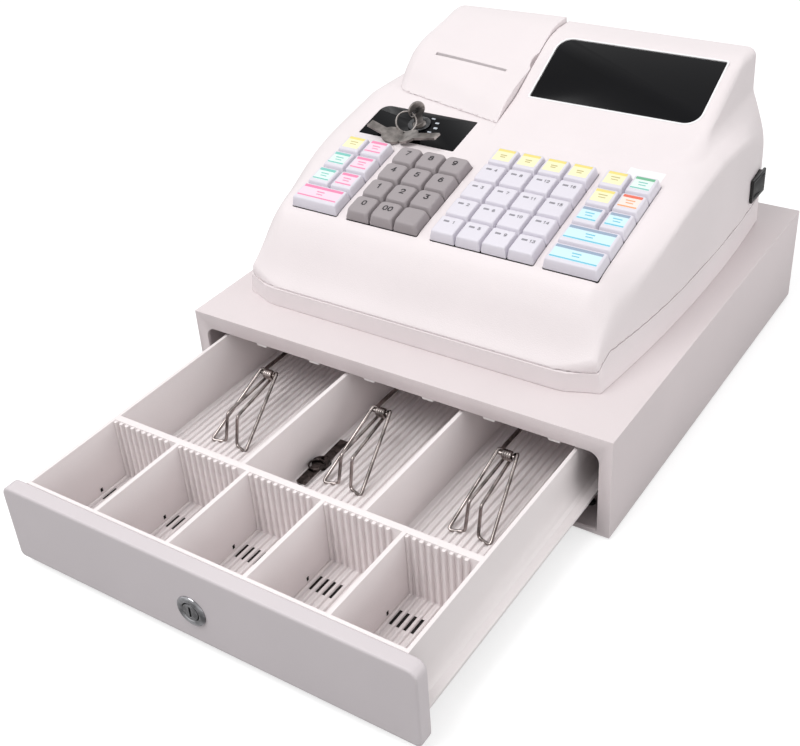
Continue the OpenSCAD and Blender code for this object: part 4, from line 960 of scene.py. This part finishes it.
class KeyMesh:
    """One piece of key caps with their printed labels."""

    def __init__(self, name):
        self.name = name
        self.bm = bmesh.new()
        self.materials = []

    def paint(self, faces, material):
        if material not in self.materials:
            self.materials.append(material)
        for f in faces:
            f.material_index = self.materials.index(material)

    def ring(self, outline, w):
        return add_ring(self.bm, [deck(a, b, w) for a, b in outline])

    def cap(self, x, v, nx, material, corner):
        """A cap some pitches wide with its stems; gives the middle of its face."""
        cx, cv = x + nx * PITCH_X / 2, v + PITCH_V / 2
        hx, hv = nx * PITCH_X / 2 - KEY_GAP / 2, PITCH_V / 2 - KEY_GAP / 2
        # Height, inset, shift up the slope and corner radius of each outline of the cap.
        levels = [
            (SKIRT_LOW, 0, 0, 0.7), (1.0, 0.05, 0, 1.0), (5.9, 0.95, 0.5, corner * 0.8),
            (6.6, 1.25, FACE_SHIFT, corner), (6.95, 1.75, FACE_SHIFT, corner), (7.0, 2.5, FACE_SHIFT, corner),
            (6.93, 5.6, FACE_SHIFT, corner * 0.7)]
        rings = []
        for w, inset, shift, r in levels:
            low, high = (cx - hx + inset, cv - hv + inset + shift), (cx + hx - inset, cv + hv - inset + shift)
            rings.append(self.ring(rounded(*low, *high, (r,) * 4, 5), w))
        faces = skin(self.bm, rings)
        faces.append(self.bm.faces.new(rings[-1]))
        faces.append(self.bm.faces.new(rings[0][::-1]))
        for k in range(nx):
            sx = x + (k + 0.5) * PITCH_X
            stem = [(sx + a * STEM_HALF, cv + b * STEM_HALF) for a, b in SQUARE]
            rings = [self.ring(stem, STEM_LOW), self.ring(stem, SKIRT_LOW)]
            faces.append(self.bm.faces.new(rings[0][::-1]))
            faces += skin(self.bm, rings)
        self.paint(faces, material)
        return cx, cv + FACE_SHIFT

    def plate(self, x0, v0, x1, v1, layer, material, r=0.3):
        """A printed area on the cap's face, some layers up."""
        w = LABEL_W + layer * LAYER
        outline = rounded(x0, v0, x1, v1, (r,) * 4, 3)
        top, low = self.ring(outline, w), self.ring(outline, w - 2 * LAYER)
        self.paint([self.bm.faces.new(top)] + skin(self.bm, [low, top]), material)

    def bar(self, cx, v0, half, v1, layer, material):
        self.plate(cx - half, v0, cx + half, v1, layer, material, 0.1)

    def number(self, text, cx, cv, size, material, thick):
        """Plain digits, centred."""
        advance = size * DIGIT_ADVANCE
        start = cx - (len(text) - 1) * advance / 2 - size / 2
        for i, c in enumerate(text):
            left, middle = start + i * advance, DIGIT_HIGH / 2
            spots = [Vector((left + a * size, cv + (b - middle) * size)) for a, b in DIGITS[c]]
            for p, q in zip(spots, spots[1:]):
                ahead = (q - p).normalized() * thick / 2
                side = Vector((-ahead.y, ahead.x))
                stroke = [p - ahead - side, q + ahead - side, q + ahead + side, p - ahead + side]
                self.paint([self.bm.faces.new(self.ring(stroke, LABEL_W))], material)

    def label(self, cx, cv, half, base, strip, band):
        """A coloured label, with a strip along its top and a thin band along its foot."""
        self.plate(cx - half, cv - LABEL_LOW, cx + half, cv + LABEL_HIGH, 0, PRINTS[base])
        self.plate(cx - half, cv + 4.6, cx + half, cv + LABEL_HIGH, 1, PRINTS[strip])
        if band:
            self.plate(cx - half, cv - 5.2, cx + half, cv - 4.0, 1, PRINTS[band])

    def done(self, node):
        mesh = mesh_of(self.bm, self.name)
        for m in self.materials:
            mesh.materials.append(m)
        smooth(mesh, 40)
        put(self.name, mesh, None, node, (node,))


STRAW = ("yellow", "straw", None)
PINK = ("pale_pink", "pink", "pink")
TEAL = ("pale_teal", "teal", "teal")
CYAN = ("pale_cyan", "slate", "cyan")
ORANGE = ("pale_orange", "red", "orange")
MINT = ("pale_mint", "green", "teal")
LEFT_ROWS = ([PINK], [TEAL, PINK], [TEAL, PINK], [STRAW, PINK])
RIGHT_ROWS = ([CYAN], [CYAN], [CYAN, CYAN], [STRAW, ORANGE], [STRAW, MINT])
NUMBER_ROWS = ((3, ("7", "8", "9")), (2, ("4", "5", "6")), (1, ("1", "2", "3")), (0, ("0", "00", "point")))
GREY_CORNER, WHITE_CORNER = 3.4, 1.3


def make_number_keys():
    for j, texts in NUMBER_ROWS:
        for i, text in enumerate(texts):
            key = KeyMesh("cap_" + text)
            cx, cv = key.cap(NUM_X + i * PITCH_X, KEY_V0 + j * PITCH_V, 1, KEY_GREY, GREY_CORNER)
            if text != "point":
                key.number(text, cx, cv + 1.9, 2.9, MARK_DARK, 0.95)
            key.done("key_" + text)


def make_department_keys():
    for j in range(5):
        key = KeyMesh("caps_dept_%d" % (j + 1))
        for i in range(4):
            cx, cv = key.cap(DEPT_X + i * PITCH_X, KEY_V0 + j * PITCH_V, 1, KEY_WHITE, WHITE_CORNER)
            if j == 4:
                key.label(cx, cv, LABEL_HALF, *STRAW)
                key.bar(cx, cv + 0.2, 2.6, cv + 1.2, 2, MARK_STRAW)
                key.bar(cx, cv - 1.8, 2.0, cv - 0.9, 2, MARK_STRAW)
            else:
                key.plate(cx - 4.9, cv + 2.6, cx - 0.6, cv + 4.3, 0, MARK_GREY, 0.2)
                key.number(str(i * 4 + j + 1), cx + 3.0, cv + 3.4, 1.6, MARK_GREY, 0.55)
        key.done("dept_keys_%d" % (j + 1))


def make_function_keys(side, x0, rows):
    for j, tints in enumerate(rows):
        key = KeyMesh("caps_%s_%d" % (side, j + 1))
        wide = 2 if len(tints) == 1 else 1
        for i, tint in enumerate(tints):
            cx, cv = key.cap(x0 + i * PITCH_X, KEY_V0 + j * PITCH_V, wide, KEY_WHITE, WHITE_CORNER)
            key.label(cx, cv, LABEL_HALF + (wide - 1) * PITCH_X / 2, *tint)
            ink = MARK_STRAW if tint is STRAW else PRINTS[tint[2]]
            key.bar(cx, cv + 1.2, 3.4, cv + 2.2, 1, ink)
            key.bar(cx + 0.3, cv - 1.4, 2.7, cv - 0.5, 1, ink)
        key.done("%s_keys_%d" % (side, j + 1))


# ---- sticker, marks and the window's rim ----

BLANK_STICKER = (94, 172.5, 120.5, 189)
LOCK_U, LOCK_V, MARKS_U, MARKS_V = -82, 189, 14.5, 11.5
MARK_SPOTS = ((62, 1.5), (30, 1.8), (-2, 2.2), (-32, 1.5), (-64, 1.8))
MARK_HALF = 1.6


def flat_piece(name, outlines, w, thick, material):
    """Thin printed or stuck areas on the deck."""
    mesh = join_prisms(name, [prism(deck, outline, w - thick, w) for outline in outlines])
    put(name, mesh, material, "register")


def make_labels():
    flat_piece("bare_sticker", [rounded(*BLANK_STICKER, (0.8,) * 4, 3)], 0.12, 0.3, STICKER)
    spots = []
    for angle, tall in MARK_SPOTS:
        a = math.radians(angle)
        u, v = LOCK_U + MARKS_U * math.cos(a), LOCK_V + MARKS_V * math.sin(a)
        spots.append(rounded(u - MARK_HALF, v - tall / 2, u + MARK_HALF, v + tall / 2, (0.3,) * 4, 2))
    flat_piece("lock_marks", spots, 0.26, 0.2, MARK_LIGHT)
    outer = grown(WINDOW, 2.0, (2.4, 13.0, 2.4, 13.0), 12)
    inner = grown(WINDOW, 0.5, (1.4, 11.5, 1.4, 11.5), 12)
    bm = bmesh.new()
    rings = [
        add_ring(bm, [hood_at(a, b, w) for a, b in outline])
        for outline, w in ((outer, -0.05), (outer, 0.35), (inner, 0.35), (inner, -1.6))]
    skin(bm, rings + rings[:1])
    bmesh.ops.recalc_face_normals(bm, faces=bm.faces)
    mesh = mesh_of(bm, "window_rim")
    smooth(mesh, 40)
    m = put("window_rim", mesh, STICKER, "register").modifiers.new("round", "BEVEL")
    m.width = 0.15 * MM
    m.segments = 2
    m.limit_method = "ANGLE"


# ---- the pieces ----

make_upper()
make_lower()
make_cover()
make_tray()
make_front()
make_clips()
make_number_keys()
make_department_keys()
make_function_keys("left", LEFT_X, LEFT_ROWS)
make_function_keys("right", RIGHT_X, RIGHT_ROWS)
make_labels()
# CAD nodes that only need rounder edges: node, width of the rounding, material.
for name, width, material in (
    ("cabinet_shell", 2.6, CABINET), ("lip_tabs", 0.8, TAB), ("drawer_lock_plug", 0.4, PLUG_METAL),
    ("display_window", 0.45, GLOSS), ("lock_panel", 0.35, GLOSS), ("mode_lock", 0.4, DARK_STEEL),
    ("power_switch_frame", 0.7, BLACK), ("power_rocker", 0.6, BLACK), ("mode_key", 0.35, KEY_METAL),
    ("rubber_feet", 1.0, RUBBER),
):
    soften(name, width, material)


# ---- studio ----

FLOOR_HALF = 3.0
FLOOR_GREYS = (0.44, 0.47)
FLOOR_GLOW = 0.66
SKY_FROM, SKY_TO = (-0.05, 0.22), (0.75, 0.80)
# Place, target, size and power of each lamp, in metres and watts.
LAMPS = (
    ("key_lamp", (-0.45, -1.0, 1.9), (0, 0, 0.1), (1.2, 1.2), 26),
    ("side_lamp", (1.7, 0.25, 0.45), (0, 0, 0.08), (1.6, 0.8), 9),
)


def make_floor(scene):
    """A pale floor that keeps shadows; the camera alone sees it lifted towards white."""
    bm = bmesh.new()
    bm.faces.new([bm.verts.new((x * FLOOR_HALF, y * FLOOR_HALF, 0)) for x, y in SQUARE])
    mesh = mesh_of(bm, "floor")
    floor = bpy.data.objects.new("floor", mesh)
    scene.collection.objects.link(floor)
    look = Look("floor_white")
    nodes, links = look.nodes, look.links
    look.shader.inputs["Roughness"].default_value = 0.9
    look.shader.inputs["Specular IOR Level"].default_value = 0.1
    grain = nodes.new("ShaderNodeTexNoise")
    grain.inputs["Scale"].default_value = 40.0
    dark, light = FLOOR_GREYS
    look.colour(grain.outputs["Fac"], 0.0, (dark,) * 3, 1.0, (light,) * 3)
    seen = nodes.new("ShaderNodeLightPath")
    glow = nodes.new("ShaderNodeEmission")
    glow.inputs["Color"].default_value = (1, 1, 1, 1)
    glow.inputs["Strength"].default_value = FLOOR_GLOW
    unlit = nodes.new("ShaderNodeEmission")
    unlit.inputs["Strength"].default_value = 0.0
    lift = nodes.new("ShaderNodeMixShader")
    links.new(seen.outputs["Is Camera Ray"], lift.inputs["Fac"])
    links.new(unlit.outputs[0], lift.inputs[1])
    links.new(glow.outputs[0], lift.inputs[2])
    total = nodes.new("ShaderNodeAddShader")
    links.new(look.shader.outputs[0], total.inputs[0])
    links.new(lift.outputs[0], total.inputs[1])
    links.new(total.outputs[0], nodes["Material Output"].inputs["Surface"])
    mesh.materials.append(look.material)


def make_world(scene):
    """Soft light that grows towards the top; camera, glossy and transmission rays see plain white."""
    world = bpy.data.worlds.new("studio")
    world.use_nodes = True
    scene.world = world
    nodes, links = world.node_tree.nodes, world.node_tree.links
    soft = nodes["Background"]
    soft.inputs["Color"].default_value = (1, 1, 1, 1)
    where = nodes.new("ShaderNodeTexCoord")
    split = nodes.new("ShaderNodeSeparateXYZ")
    links.new(where.outputs["Generated"], split.inputs[0])
    height = nodes.new("ShaderNodeMapRange")
    height.interpolation_type = "SMOOTHSTEP"
    height.inputs["From Min"].default_value, height.inputs["To Min"].default_value = SKY_FROM
    height.inputs["From Max"].default_value, height.inputs["To Max"].default_value = SKY_TO
    links.new(split.outputs["Z"], height.inputs["Value"])
    links.new(height.outputs["Result"], soft.inputs["Strength"])
    shown = nodes.new("ShaderNodeBackground")
    shown.inputs["Color"].default_value = (1, 1, 1, 1)
    shown.inputs["Strength"].default_value = 1.0
    path = nodes.new("ShaderNodeLightPath")
    either_ray = path.outputs["Is Camera Ray"]
    for ray in ("Is Transmission Ray", "Is Glossy Ray"):
        most = nodes.new("ShaderNodeMath")
        most.operation = "MAXIMUM"
        links.new(either_ray, most.inputs[0])
        links.new(path.outputs[ray], most.inputs[1])
        either_ray = most.outputs[0]
    mix = nodes.new("ShaderNodeMixShader")
    links.new(either_ray, mix.inputs["Fac"])
    links.new(soft.outputs[0], mix.inputs[1])
    links.new(shown.outputs[0], mix.inputs[2])
    links.new(mix.outputs[0], nodes["World Output"].inputs["Surface"])


def make_lamps(scene):
    for name, place, target, size, power in LAMPS:
        data = bpy.data.lights.new(name, "AREA")
        data.shape = "RECTANGLE"
        data.size, data.size_y = size
        data.energy = power
        o = bpy.data.objects.new(name, data)
        o.location = place
        o.rotation_euler = (Vector(target) - Vector(place)).to_track_quat("-Z", "Y").to_euler()
        scene.collection.objects.link(o)


scene = bpy.context.scene
scene.view_settings.view_transform = "Standard"
make_floor(scene)
make_world(scene)
make_lamps(scene)
